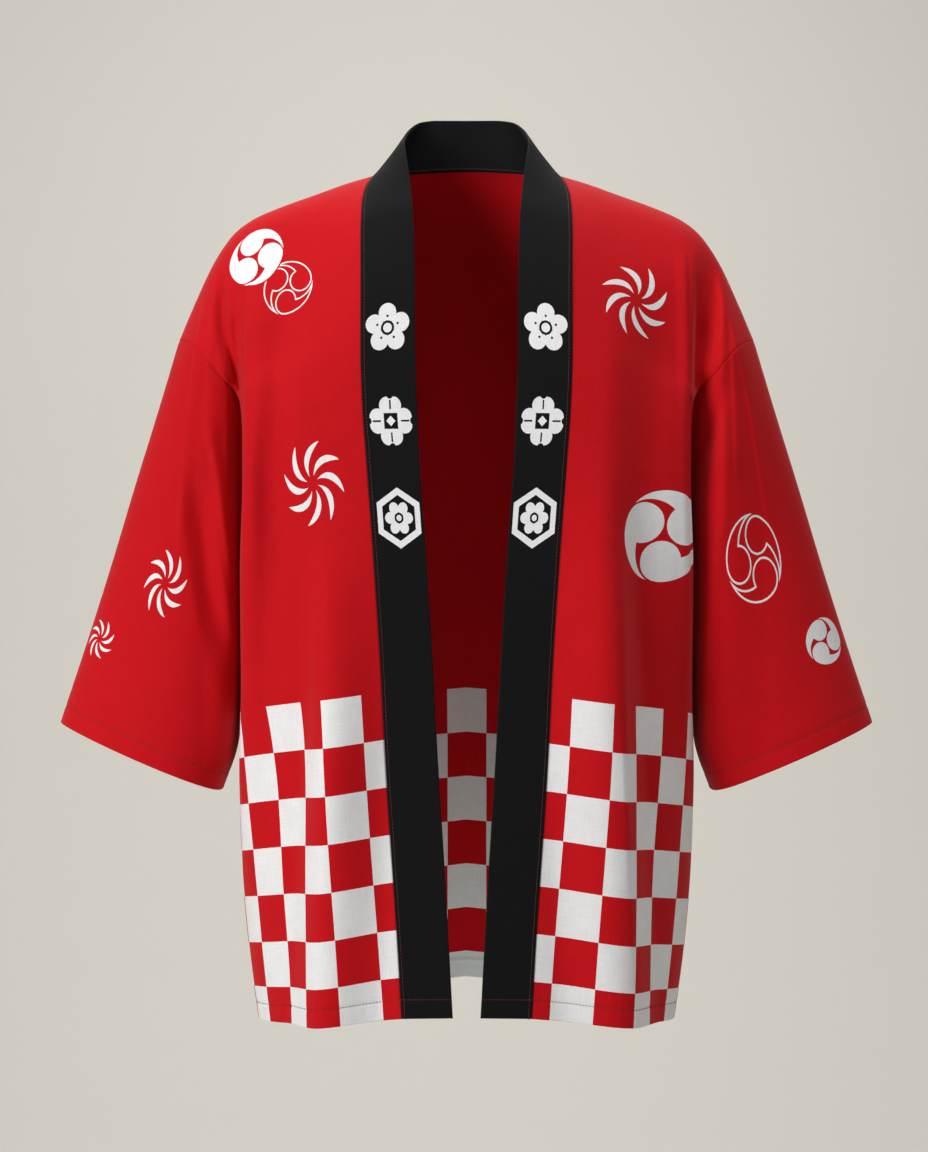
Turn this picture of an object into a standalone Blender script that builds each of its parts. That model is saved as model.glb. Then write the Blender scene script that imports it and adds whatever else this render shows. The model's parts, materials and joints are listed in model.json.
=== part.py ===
"""Happi coat, worn and filled out with no wearer: two fronts, a back, two wide sleeves and a collar band.

Metres, +Z up, front facing -Y. The origin is between the shoulders, just under the level of the neck ends
of the shoulder seams, where the wearer carries the coat. "left" and "right" are the wearer's own sides.
Each piece of cloth is a grid of points on its outer face, thickened inwards to a closed wall.
"""

import math
from collections import namedtuple

import bmesh
import bpy
from mathutils import Vector

# Driving sizes
CLOTH = 0.0016  # wall of the panels
HEM_TURN = 0.0009  # what the turned hem adds on the inside
HEM_SHARE = 0.020  # of a panel's length is its turned hem
CUFF_SHARE = 0.052  # and of a sleeve's
HEM_STEP = 0.002  # the share of the length in which the wall thickens there
HEM_Z = -0.80  # the folds' paths end at this level
COLLAR_WALL = 0.0032  # a doubled strip with its seam allowance inside
SEAM_GAP = 0.00018  # each edge stands back this far from the seam
COLLAR_GAP = 0.0008
NECK_HALF = 0.0875  # half the width of the neck hole at the shoulder seams
NECK_BACK = 0.068  # how far behind the shoulder seams the neckline lies at the centre
NECK_RISE = 0.012  # and how far above their neck ends
NECK_ROUND = 0.60  # under 1, how blunt the neckline's curve is
HEM_SAG = 0.005  # how much lower the hem hangs between its seams
SHOULDER = 0.30  # the share of the way down a panel over which it stops following the shoulder seam
ARMPIT = 0.42  # and where the sleeve seam ends
SLEEVE_BLEND = 0.45  # the share of the way down a sleeve over which its seam's shape fades
FOLD_TOP = 0.12  # the share of a panel over which its folds set in
FOLD_EDGE = 0.006  # how far short of the widest place they end, where the panel tucks in under the arm
TUCK = 0.004  # and how deep such a tuck is for that
SWELL = 0.9  # under 1, how flat a sleeve's sides are
CROWDING = 0.4  # how much closer together the rows and sleeve columns are at the shoulder
SEAM_STEP = 0.03  # how far apart the seam is looked at, to find the ways along and across it

RED = (0.60, 0.012, 0.018, 1.0)
BLACK = (0.012, 0.012, 0.013, 1.0)

# The line of the shoulder seam, from the neck to the top of the sleeve seam
Ridge = namedtuple("Ridge", "x z")
RIDGE = (
    Ridge(0.0875, 0.0040),
    Ridge(0.1138, -0.0037),
    Ridge(0.1445, -0.0147),
    Ridge(0.1766, -0.0262),
    Ridge(0.2040, -0.0382),
    Ridge(0.2208, -0.0503),
    Ridge(0.2294, -0.0603),
    Ridge(0.2424, -0.0805),
    Ridge(0.2606, -0.1195),
    Ridge(0.2760, -0.1560),
)

# A front panel's sections, from the shoulder seam down to the hem. edge is the collar seam, wide the widest
# place, and side the sleeve seam or, below the armpit, the side seam. ring is how much of the section is a
# superellipse of the given power, the rest being straight.
Front = namedtuple("Front", "v edge_x edge_y edge_z wide_x wide_y power ring side_x side_y side_z")
FRONT = (
    Front(0.000, 0.0875, 0.000, 0.004, 0.2760, 0.000, 2.6, 0.0, 0.2760, 0.000, -0.1560),
    Front(0.035, 0.0905, -0.014, -0.002, 0.2728, -0.022, 2.6, 0.0, 0.2728, -0.022, -0.1565),
    Front(0.070, 0.0935, -0.029, -0.010, 0.2660, -0.039, 2.6, 0.0, 0.2660, -0.039, -0.1585),
    Front(0.120, 0.0962, -0.054, -0.028, 0.2560, -0.055, 2.6, 0.0, 0.2560, -0.055, -0.1650),
    Front(0.170, 0.0965, -0.080, -0.053, 0.2440, -0.066, 2.6, 0.1, 0.2440, -0.066, -0.1780),
    Front(0.220, 0.0958, -0.102, -0.090, 0.2320, -0.070, 2.6, 0.3, 0.2320, -0.070, -0.1920),
    Front(0.270, 0.0953, -0.117, -0.130, 0.2200, -0.069, 2.6, 0.6, 0.2190, -0.064, -0.2065),
    Front(0.320, 0.0950, -0.126, -0.175, 0.2115, -0.074, 2.7, 0.9, 0.2080, -0.044, -0.2330),
    Front(0.370, 0.0932, -0.131, -0.225, 0.2095, -0.076, 2.8, 1.0, 0.2042, -0.017, -0.2650),
    Front(0.420, 0.0895, -0.135, -0.275, 0.2095, -0.074, 2.8, 1.0, 0.2030, 0.012, -0.3000),
    Front(0.500, 0.0832, -0.139, -0.360, 0.2105, -0.064, 2.6, 1.0, 0.2030, 0.013, -0.3850),
    Front(0.600, 0.0768, -0.142, -0.460, 0.2130, -0.045, 2.3, 1.0, 0.2045, 0.012, -0.4850),
    Front(0.700, 0.0722, -0.145, -0.550, 0.2160, -0.025, 2.1, 1.0, 0.2110, 0.010, -0.5750),
    Front(0.800, 0.0668, -0.148, -0.630, 0.2140, -0.018, 2.0, 1.0, 0.2120, 0.008, -0.6550),
    Front(0.900, 0.0615, -0.150, -0.707, 0.2080, -0.015, 2.0, 1.0, 0.2065, 0.006, -0.7320),
    Front(1.000, 0.0570, -0.152, -0.784, 0.1985, -0.012, 2.0, 1.0, 0.1975, 0.004, -0.8035),
)

# The back's sections, from the neckline and shoulder seams down to the hem. neck is how much of the
# neckline's curve is left in the section.
Back = namedtuple("Back", "v mid_y mid_z neck wide_x wide_y power ring side_x side_y side_z")
BACK = (
    Back(0.000, 0.068, 0.016, 1.00, 0.2760, 0.000, 2.6, 0.0, 0.2760, 0.000, -0.1560),
    Back(0.035, 0.075, 0.008, 0.84, 0.2730, 0.022, 2.6, 0.0, 0.2730, 0.022, -0.1565),
    Back(0.070, 0.082, -0.003, 0.68, 0.2670, 0.040, 2.6, 0.0, 0.2670, 0.040, -0.1590),
    Back(0.120, 0.092, -0.022, 0.46, 0.2575, 0.058, 2.6, 0.0, 0.2575, 0.058, -0.1660),
    Back(0.170, 0.102, -0.050, 0.27, 0.2460, 0.071, 2.6, 0.1, 0.2460, 0.071, -0.1790),
    Back(0.220, 0.111, -0.085, 0.13, 0.2335, 0.078, 2.6, 0.3, 0.2335, 0.078, -0.1930),
    Back(0.270, 0.117, -0.125, 0.05, 0.2215, 0.080, 2.6, 0.6, 0.2205, 0.076, -0.2080),
    Back(0.320, 0.121, -0.170, 0.01, 0.2125, 0.084, 2.7, 0.9, 0.2090, 0.060, -0.2340),
    Back(0.370, 0.123, -0.222, 0.00, 0.2100, 0.085, 2.8, 1.0, 0.2045, 0.037, -0.2660),
    Back(0.420, 0.124, -0.275, 0.00, 0.2090, 0.083, 2.8, 1.0, 0.2030, 0.012, -0.3000),
    Back(0.500, 0.123, -0.362, 0.00, 0.2090, 0.076, 2.6, 1.0, 0.2030, 0.013, -0.3850),
    Back(0.600, 0.124, -0.464, 0.00, 0.2110, 0.062, 2.3, 1.0, 0.2045, 0.012, -0.4850),
    Back(0.700, 0.128, -0.555, 0.00, 0.2150, 0.045, 2.1, 1.0, 0.2110, 0.010, -0.5750),
    Back(0.800, 0.133, -0.634, 0.00, 0.2135, 0.036, 2.0, 1.0, 0.2120, 0.008, -0.6550),
    Back(0.900, 0.138, -0.709, 0.00, 0.2078, 0.030, 2.0, 1.0, 0.2065, 0.006, -0.7320),
    Back(1.000, 0.143, -0.784, 0.00, 0.1985, 0.026, 2.0, 1.0, 0.1975, 0.004, -0.8035),
)

# A sleeve's stations, from its seam to the cuff. top is the line over the arm and under the line below it;
# front and back are how far the tube swells each way between them.
Sleeve = namedtuple("Sleeve", "t top_x top_y top_z under_x under_y under_z front back")
SLEEVE = (
    Sleeve(0.00, 0.2760, 0.000, -0.1560, 0.2030, 0.012, -0.3000, 0.072, 0.078),
    Sleeve(0.16, 0.2942, 0.000, -0.2170, 0.2112, 0.012, -0.3560, 0.070, 0.076),
    Sleeve(0.36, 0.3178, 0.001, -0.2938, 0.2145, 0.010, -0.4180, 0.070, 0.076),
    Sleeve(0.57, 0.3408, 0.001, -0.3706, 0.2160, 0.008, -0.4760, 0.071, 0.076),
    Sleeve(0.78, 0.3640, 0.001, -0.4440, 0.2195, 0.004, -0.5400, 0.072, 0.075),
    Sleeve(1.00, 0.3895, 0.001, -0.5210, 0.2342, 0.002, -0.5885, 0.074, 0.075),
)

# The collar band's folded edge, from the centre of the neck to the hem. s is the share of the way along the
# seam: under 0 on the neckline, over 0 down the front.
Collar = namedtuple("Collar", "s free_x free_y free_z")
COLLAR = (
    Collar(-1.00, 0.0000, 0.073, 0.0668),
    Collar(-0.66, 0.0290, 0.070, 0.0664),
    Collar(-0.42, 0.0445, 0.060, 0.0635),
    Collar(-0.22, 0.0545, 0.040, 0.0540),
    Collar(-0.10, 0.0585, 0.020, 0.0450),
    Collar(0.000, 0.0600, 0.002, 0.0360),
    Collar(0.035, 0.0585, -0.012, 0.0260),
    Collar(0.070, 0.0562, -0.028, 0.0120),
    Collar(0.120, 0.0530, -0.052, -0.0120),
    Collar(0.170, 0.0502, -0.078, -0.0400),
    Collar(0.220, 0.0483, -0.099, -0.0800),
    Collar(0.270, 0.0475, -0.114, -0.1240),
    Collar(0.320, 0.0472, -0.125, -0.1720),
    Collar(0.370, 0.0455, -0.132, -0.2240),
    Collar(0.420, 0.0432, -0.137, -0.2750),
    Collar(0.500, 0.0370, -0.142, -0.3600),
    Collar(0.600, 0.0308, -0.146, -0.4600),
    Collar(0.700, 0.0261, -0.149, -0.5500),
    Collar(0.800, 0.0211, -0.152, -0.6300),
    Collar(0.900, 0.0167, -0.154, -0.7070),
    Collar(1.000, 0.0126, -0.156, -0.7830),
)

# Folds. Each runs from start_z down to end_z through three places across the coat, stands lift metres out
# of the cloth (below 0, a trough), and fades over inner and outer metres to its two sides.
Fold = namedtuple("Fold", "start_z full_z ease_z end_z start_x mid_x end_x inner outer lift")
FRONT_FOLDS = {
    -1: (
        Fold(-0.26, -0.58, -0.95, -1.00, 0.126, 0.126, 0.138, 0.054, 0.031, 0.037),
        Fold(-0.10, -0.20, -0.30, -0.44, 0.172, 0.178, 0.172, 0.024, 0.022, -0.006),
        Fold(-0.09, -0.19, -0.21, -0.30, 0.234, 0.224, 0.208, 0.016, 0.022, -0.016),
        Fold(-0.29, -0.37, -0.40, -0.46, 0.257, 0.243, 0.216, 0.018, 0.018, -0.009),
    ),
    1: (
        Fold(-0.24, -0.49, -0.95, -1.00, 0.130, 0.138, 0.154, 0.072, 0.029, 0.032),
        Fold(-0.08, -0.20, -0.30, -0.44, 0.160, 0.166, 0.165, 0.034, 0.030, -0.008),
        Fold(-0.07, -0.18, -0.21, -0.30, 0.229, 0.222, 0.208, 0.015, 0.024, -0.018),
        Fold(-0.22, -0.26, -0.28, -0.33, 0.234, 0.222, 0.212, 0.014, 0.014, -0.009),
    ),
}
BACK_FOLDS = {
    -1: (
        Fold(-0.20, -0.50, -0.95, -1.00, 0.112, 0.120, 0.128, 0.046, 0.034, 0.011),
        Fold(-0.12, -0.22, -0.32, -0.46, 0.168, 0.176, 0.170, 0.026, 0.024, -0.007),
        Fold(-0.09, -0.19, -0.21, -0.30, 0.232, 0.224, 0.210, 0.022, 0.024, -0.013),
        Fold(-0.34, -0.56, -0.95, -1.00, 0.030, 0.026, 0.034, 0.030, 0.036, -0.007),
    ),
    1: (
        Fold(-0.24, -0.54, -0.95, -1.00, 0.098, 0.106, 0.118, 0.040, 0.040, 0.012),
        Fold(-0.10, -0.22, -0.32, -0.42, 0.164, 0.170, 0.166, 0.028, 0.026, -0.006),
        Fold(-0.08, -0.18, -0.21, -0.30, 0.230, 0.222, 0.210, 0.022, 0.024, -0.013),
        Fold(-0.46, -0.64, -0.95, -1.00, 0.160, 0.162, 0.164, 0.026, 0.020, 0.007),
    ),
}

# Grid sizes
ARM_ROWS = 12  # from the shoulder down to the armpit, and half-way round a sleeve
BODY_ROWS = 18  # from the armpit down to the turned hem
FRONT_COLUMNS = 18
NECK_COLUMNS = 6  # of the back, on each half, along the neckline
SEAM_COLUMNS = 9  # and along the shoulder seam
SLEEVE_ROWS = 14
COLLAR_COLUMNS = 3
TRACE = 60  # points on a section before it is divided


def smooth(t):
    """0 to 1, level at both ends."""
    t = min(max(t, 0.0), 1.0)
    return t * t * (3.0 - 2.0 * t)


def mix(a, b, t):
    return a + (b - a) * t


def look_up(rows, key, name, at):
    """A column of a table at any place between its rows: a cubic that never overshoots them."""
    keys = [getattr(row, key) for row in rows]
    values = [getattr(row, name) for row in rows]
    at = min(max(at, keys[0]), keys[-1])
    i = 0
    while i < len(keys) - 2 and at > keys[i + 1]:
        i += 1
    step = [b - a for a, b in zip(keys, keys[1:])]
    rate = [(b - a) / gap for a, b, gap in zip(values, values[1:], step)]

    def slope(k):
        if k in (0, len(keys) - 1):
            return rate[min(k, len(rate) - 1)]
        before, after = rate[k - 1], rate[k]
        return 0.0 if before * after <= 0 else 2.0 * before * after / (before + after)

    t = (at - keys[i]) / step[i]
    rise = values[i + 1] - values[i]
    first, last = slope(i) * step[i], slope(i + 1) * step[i]
    return values[i] + t * (first + t * (3 * rise - 2 * first - last + t * (first + last - 2 * rise)))


def section(table, at):
    """A table's row at any place between its first and last."""
    kind = type(table[0])
    return kind(at, *[look_up(table, kind._fields[0], name, at) for name in kind._fields[1:]])


def fold_lift(folds, x, z):
    """How far all the folds together stand out of the cloth at a place."""
    total = 0.0
    for fold in folds:
        along = smooth((fold.start_z - z) / (fold.start_z - fold.full_z))
        if z < fold.ease_z:
            along *= smooth((z - fold.end_z) / (fold.ease_z - fold.end_z))
        run = (fold.start_z - z) / (fold.start_z - max(fold.end_z, HEM_Z))
        run = min(max(run, 0.0), 1.0)
        if run < 0.5:
            path = mix(fold.start_x, fold.mid_x, 2 * run)
        else:
            path = mix(fold.mid_x, fold.end_x, 2 * run - 1)
        off = abs(x) - path
        spread = fold.inner if off < 0 else fold.outer
        total += fold.lift * along * smooth(1.0 - abs(off) / spread)
    return total


def fold_room(row, x):
    """The share of a fold's depth at a place: none on the seam at the top, nor at the widest place."""
    tucked = smooth((row.wide_x - row.side_x) / TUCK)
    return smooth(row.v / FOLD_TOP) * mix(1.0, smooth((row.wide_x - x) / FOLD_EDGE), tucked)


def ring_share(row, x):
    """How far out a superellipse stands at x: 1 at the middle, 0 at its widest place."""
    return (1.0 - min(abs(x) / row.wide_x, 1.0) ** row.power) ** (1.0 / row.power)


def front_outline(row):
    """The level outline of a front's section, from the collar seam out to its widest place."""
    middle = row.wide_y + (row.edge_y - row.wide_y) / ring_share(row, row.edge_x)
    points = []
    for i in range(TRACE + 1):
        across = math.sin(math.pi / 2 * i / TRACE)
        x = mix(row.edge_x, row.wide_x, across)
        straight = mix(row.edge_y, row.wide_y, across)
        curved = row.wide_y + (middle - row.wide_y) * ring_share(row, x)
        points.append((x, mix(straight, curved, row.ring)))
    return points


def back_outline(row):
    """The same for half of the back, from its middle."""
    shelf = row.mid_y - row.neck * NECK_BACK
    points = []
    for i in range(TRACE + 1):
        across = math.sin(math.pi / 2 * i / TRACE)
        x = row.wide_x * across
        straight = mix(shelf, row.wide_y, across)
        curved = row.wide_y + (shelf - row.wide_y) * ring_share(row, x)
        points.append((x, mix(straight, curved, row.ring) + row.neck * neck_back(x)))
    return points


def neck_back(x):
    """How far behind the shoulder seams the neckline lies."""
    return NECK_BACK * max(1.0 - (x / NECK_HALF) ** 2, 0.0) ** NECK_ROUND


def neck_rise(x):
    return NECK_RISE * max(1.0 - (x / NECK_HALF) ** 2, 0.0)


def panel_row(side, facing, v):
    """A section of a panel, from its middle or its collar seam out to its side.

    facing is -1 for a front and 1 for the back.
    """
    row = section(FRONT if facing < 0 else BACK, v)
    outline = front_outline(row) if facing < 0 else back_outline(row)
    start_z = row.edge_z if facing < 0 else row.mid_z - row.neck * NECK_RISE
    for i in range(1, TRACE // 2 + 1):
        tuck = i / (TRACE // 2)
        outline.append((mix(row.wide_x, row.side_x, smooth(tuck)), mix(row.wide_y, row.side_y, tuck)))
    lengths = running_lengths([Vector((x, y, 0.0)) for x, y in outline])
    folds = (FRONT_FOLDS if facing < 0 else BACK_FOLDS)[side]
    shoulder = 1.0 - smooth(v / SHOULDER)
    points = []
    for (x, y), length in zip(outline, lengths):
        neck = row.edge_x if facing < 0 else NECK_HALF
        reach = min(max((x - neck) / (row.side_x - neck), 0.0), 1.0)
        top = look_up(RIDGE, "x", "z", mix(NECK_HALF, RIDGE[-1].x, reach))
        share = length / lengths[-1]
        drop = mix(share, (top - RIDGE[0].z) / (RIDGE[-1].z - RIDGE[0].z), shoulder)
        z = mix(start_z, row.side_z, drop)
        z -= HEM_SAG * v ** 3 * math.sin(math.pi * share)
        if facing > 0:
            z += row.neck * neck_rise(x)
        lift = fold_lift(folds, x, z) * fold_room(row, x)
        points.append(Vector((side * x, y + facing * lift, z)))
    return points


def running_lengths(points):
    lengths = [0.0]
    for a, b in zip(points, points[1:]):
        lengths.append(lengths[-1] + (b - a).length)
    return lengths


def divide(points, shares):
    """The points at these shares of a line's length."""
    lengths = running_lengths(points)
    found, k = [], 0
    for share in shares:
        want = lengths[-1] * share
        while k < len(lengths) - 2 and lengths[k + 1] < want:
            k += 1
        t = (want - lengths[k]) / max(lengths[k + 1] - lengths[k], 1e-9)
        found.append(points[k].lerp(points[k + 1], min(max(t, 0.0), 1.0)))
    return found


def share_at_x(points, x):
    """The share of a line's length at which it reaches x."""
    lengths = running_lengths(points)
    for a, b, near, far in zip(points, points[1:], lengths, lengths[1:]):
        if abs(b.x) >= x - 1e-9:
            return mix(near, far, (x - abs(a.x)) / max(abs(b.x) - abs(a.x), 1e-9)) / lengths[-1]
    return 1.0


def front_columns(side, v):
    return divide(panel_row(side, -1, v), [i / FRONT_COLUMNS for i in range(FRONT_COLUMNS + 1)])


def neck_stations():
    """Places across half of the neckline, from its middle to the shoulder seam."""
    return [NECK_HALF * math.sin(math.pi / 2 * i / NECK_COLUMNS) for i in range(NECK_COLUMNS + 1)]


def back_columns(side, v):
    """Columns that start on the neckline's stations at the top and are even further down."""
    top = panel_row(side, 1, 0.0)
    shares = [share_at_x(top, x) for x in neck_stations()]
    shares += [mix(shares[-1], 1.0, i / SEAM_COLUMNS) for i in range(1, SEAM_COLUMNS + 1)]
    even = [i / (len(shares) - 1) for i in range(len(shares))]
    shares = [mix(a, b, smooth(v / SHOULDER)) for a, b in zip(shares, even)]
    return divide(panel_row(side, 1, v), shares)


def seam_point(side, q, folded=True):
    """A point on the sleeve seam. q is 0 over the arm and -1 or 1 at the armpit, by the front or the back."""
    facing = 1 if q > 0 else -1
    row = section(BACK if q > 0 else FRONT, abs(q) * ARMPIT)
    folds = (BACK_FOLDS if q > 0 else FRONT_FOLDS)[side]
    lift = fold_lift(folds, row.side_x, row.side_z) * fold_room(row, row.side_x) if folded else 0.0
    return Vector((side * row.side_x, row.side_y + facing * lift, row.side_z))


def tube_point(side, row, q):
    """A point on a sleeve's plain tube."""
    down = (1.0 - math.cos(math.pi * q)) / 2.0
    swell = math.sin(math.pi * abs(q)) ** SWELL
    return Vector((
        side * mix(row.top_x, row.under_x, down),
        mix(row.top_y, row.under_y, down) + (row.back * swell if q > 0 else -row.front * swell),
        mix(row.top_z, row.under_z, down),
    ))


def sleeve_point(side, t, q):
    """A point on a sleeve, t of the way from its seam to the cuff, q of the way round as on the seam."""
    facing = 1 if q > 0 else -1
    point = tube_point(side, section(SLEEVE, t), q)
    point += (seam_point(side, q, False) - tube_point(side, SLEEVE[0], q)) * (1.0 - smooth(t / SLEEVE_BLEND))
    panel = section(BACK if q > 0 else FRONT, abs(q) * ARMPIT)
    room = mix(fold_room(panel, panel.side_x), abs(math.sin(math.pi * q)), smooth(t / FOLD_TOP))
    folds = (BACK_FOLDS if q > 0 else FRONT_FOLDS)[side]
    point.y += facing * fold_lift(folds, abs(point.x), point.z) * room
    return point


def seam_ways(side, q):
    """The way into the coat at a point of the sleeve seam, between those of the two pieces it joins, and the
    way across it towards the sleeve."""
    if abs(q) > 0.999:
        return Vector((0.0, 0.0, 1.0)), Vector((side, 0.0, 0.0))
    here = seam_point(side, q)
    if abs(q) < SEAM_STEP:
        panel = Vector((side * RIDGE[-2].x, 0.0, RIDGE[-2].z))
    else:
        panel = divide(panel_row(side, 1 if q > 0 else -1, abs(q) * ARMPIT), [1.0 - 2 * SEAM_STEP])[0]
    before, after = seam_point(side, max(q - SEAM_STEP, -1.0)), seam_point(side, min(q + SEAM_STEP, 1.0))
    along = (after - before).normalized()
    sleeve_way = along.cross(sleeve_point(side, 2 * SEAM_STEP, q) - here).normalized()
    panel_way = along.cross(here - panel).normalized()
    inward = (sleeve_way + panel_way).normalized() * side
    return inward, inward.cross(along).normalized() * side


def ridge_inward(side, x):
    """The way into the coat at a place on the shoulder seam: square to it, and down."""
    near = 0.002
    fall = look_up(RIDGE, "x", "z", x + near) - look_up(RIDGE, "x", "z", x - near)
    rise = max(x - near, RIDGE[0].x) - min(x + near, RIDGE[-1].x)
    return Vector((side * fall, 0.0, rise)).normalized()


def normals_of(grid, closed):
    """A unit normal at each point of a grid, all on the same side of it."""
    found = []
    for i, line in enumerate(grid):
        above, below = grid[max(i - 1, 0)], grid[min(i + 1, len(grid) - 1)]
        row = []
        for j in range(len(line)):
            if closed:
                before, after = line[j - 1], line[(j + 1) % len(line)]
            else:
                before, after = line[max(j - 1, 0)], line[min(j + 1, len(line) - 1)]
            row.append((after - before).cross(below[j] - above[j]).normalized())
        found.append(row)
    return found


def add_wall(name, outer, inner, closed, colour):
    """A closed solid between two grids of points that face each other."""
    mesh = bmesh.new()
    grids = [[[mesh.verts.new(point) for point in line] for line in grid] for grid in (outer, inner)]
    rows, columns = len(outer), len(outer[0])
    for grid in grids:
        for i in range(rows - 1):
            for j in range(columns if closed else columns - 1):
                k = (j + 1) % columns
                mesh.faces.new((grid[i][j], grid[i][k], grid[i + 1][k], grid[i + 1][j]))
    rims = [[(i, j) for j in range(columns)] + ([(i, 0)] if closed else []) for i in (0, rows - 1)]
    if not closed:
        rims += [[(i, j) for i in range(rows)] for j in (0, columns - 1)]
    for rim in rims:
        for (i, j), (k, m) in zip(rim, rim[1:]):
            mesh.faces.new((grids[0][i][j], grids[0][k][m], grids[1][k][m], grids[1][i][j]))
    bmesh.ops.recalc_face_normals(mesh, faces=mesh.faces)
    data = bpy.data.meshes.new(name)
    mesh.to_mesh(data)
    mesh.free()
    data.shade_smooth()
    data.set_sharp_from_angle(angle=math.radians(50))
    material = bpy.data.materials.new(name)
    material.use_nodes = True
    shader = material.node_tree.nodes["Principled BSDF"]
    shader.inputs["Base Color"].default_value = colour
    shader.inputs["Roughness"].default_value = 0.8
    shader.inputs["Metallic"].default_value = 0.0
    data.materials.append(material)
    bpy.context.scene.collection.objects.link(bpy.data.objects.new(name, data))


def add_cloth(name, grid, inward, places, hem_share, closed, colour):
    """A panel's wall: the grid is its outer face, and inward the way to its inner face at each point."""
    inner = []
    for line, ways, place in zip(grid, inward, places):
        wall = CLOTH + (HEM_TURN if place > 1.0 - hem_share - 1e-6 else 0.0)
        inner.append([point + way * wall for point, way in zip(line, ways)])
    add_wall(name, grid, inner, closed, colour)


def end_row(line, ways, end, side, facing, v):
    """Sets a row's end where it meets the sleeve or, below the armpit, the other panel."""
    apart = Vector((0.0, facing * SEAM_GAP, 0.0))
    ways[end] = Vector((-side, 0.0, 0.0))
    if v < ARMPIT + 1e-6:
        ways[end], across = seam_ways(side, facing * v / ARMPIT)
        apart = (apart if v in (0.0, ARMPIT) else Vector()) - across * SEAM_GAP
    line[end] = line[end] + apart


def arm_places():
    """Places from the shoulder to the armpit, as shares of the way, closer together at the top."""
    even = [i / ARM_ROWS for i in range(ARM_ROWS + 1)]
    return [mix(place, place * place, CROWDING) for place in even]


def hem_places(first, count, share):
    """Even places on to the hem, with a step in the wall where it is turned."""
    fold = 1.0 - share
    return [mix(first, fold - HEM_STEP, i / count) for i in range(1, count + 1)] + [fold, 1.0]


def body_places():
    return [ARMPIT * place for place in arm_places()] + hem_places(ARMPIT, BODY_ROWS, HEM_SHARE)


def add_front(side, name):
    places = body_places()
    grid = [front_columns(side, v) for v in places]
    inward = [[way * side for way in line] for line in normals_of(grid, False)]
    for line, ways, v in zip(grid, inward, places):
        line[0] = line[0] + (line[1] - line[0]).normalized() * SEAM_GAP
        end_row(line, ways, -1, side, -1, v)
    for j in range(FRONT_COLUMNS):
        inward[0][j] = ridge_inward(side, abs(grid[0][j].x))
        grid[0][j] = grid[0][j] + Vector((0.0, -SEAM_GAP, 0.0))
    add_cloth(name, grid, inward, places, HEM_SHARE, False, RED)


def add_back(name):
    places = body_places()
    grid = [back_columns(-1, v)[:0:-1] + back_columns(1, v) for v in places]
    inward = [[way * -1 for way in line] for line in normals_of(grid, False)]
    for line, ways, v in zip(grid, inward, places):
        end_row(line, ways, 0, -1, 1, v)
        end_row(line, ways, -1, 1, 1, v)
    for j in range(1, len(grid[0]) - 1):
        point, below = grid[0][j], grid[1][j]
        apart = (below - point).normalized()
        if abs(point.x) > NECK_HALF - 1e-6:
            inward[0][j] = ridge_inward(1 if point.x > 0 else -1, abs(point.x))
            apart = Vector((0.0, 1.0, 0.0))
        grid[0][j] = point + apart * SEAM_GAP
    add_cloth(name, grid, inward, places, HEM_SHARE, False, RED)


def add_sleeve(side, name):
    around = [-q for q in arm_places()] + arm_places()[-2:0:-1]
    places = [0.0] + hem_places(0.0, SLEEVE_ROWS, CUFF_SHARE)
    grid = [[sleeve_point(side, t, q) for q in around] for t in places]
    inward = [[way * -side for way in line] for line in normals_of(grid, True)]
    for j, q in enumerate(around):
        inward[0][j], across = seam_ways(side, q)
        grid[0][j] = grid[0][j] + across * SEAM_GAP
    add_cloth(name, grid, inward, places, CUFF_SHARE, True, RED)


def collar_line(side, s):
    """The band's two edges at a station: on the seam, and at the fold."""
    if s < 0:
        x = NECK_HALF * math.cos(math.pi / 2 * -s)
        seam = Vector((side * x, neck_back(x), RIDGE[0].z + neck_rise(x)))
    else:
        row = section(FRONT, s)
        seam = Vector((side * row.edge_x, row.edge_y, row.edge_z))
    edge = section(COLLAR, s)
    return seam, Vector((side * edge.free_x, edge.free_y, edge.free_z))


def add_collar(name):
    neck = [-1.0 + i / NECK_COLUMNS for i in range(NECK_COLUMNS)]
    down = body_places()
    stations = [(-1, s) for s in reversed(neck[1:] + down)] + [(1, s) for s in neck + down]
    grid = []
    for side, s in stations:
        seam, free = collar_line(side, s)
        seam = seam + (free - seam).normalized() * COLLAR_GAP
        grid.append([seam.lerp(free, j / COLLAR_COLUMNS) for j in range(COLLAR_COLUMNS + 1)])
    normals = normals_of(grid, False)
    walls = []
    for shift in (COLLAR_WALL / 2, -COLLAR_WALL / 2):
        walls.append([
            [point + way * (shift - CLOTH / 2) for point, way in zip(line, ways)]
            for line, ways in zip(grid, normals)
        ])
    add_wall(name, walls[0], walls[1], False, BLACK)


for stale in list(bpy.data.objects):
    bpy.data.objects.remove(stale)
add_back("back")
add_front(-1, "front_right")
add_front(1, "front_left")
add_sleeve(-1, "sleeve_right")
add_sleeve(1, "sleeve_left")
add_collar("collar")
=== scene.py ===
"""The looks of a happi coat: printed cotton panels, a black collar band, and the stitching that holds them.

Metres, +Z up, front facing -Y. "left" and "right" are the wearer's own sides, so the right front is at -X.
Every panel is a thin sheet on the form of its solid, with the fabric's own coordinates stored on its points.
"""

import json
import math
from collections import namedtuple
from functools import lru_cache

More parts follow.
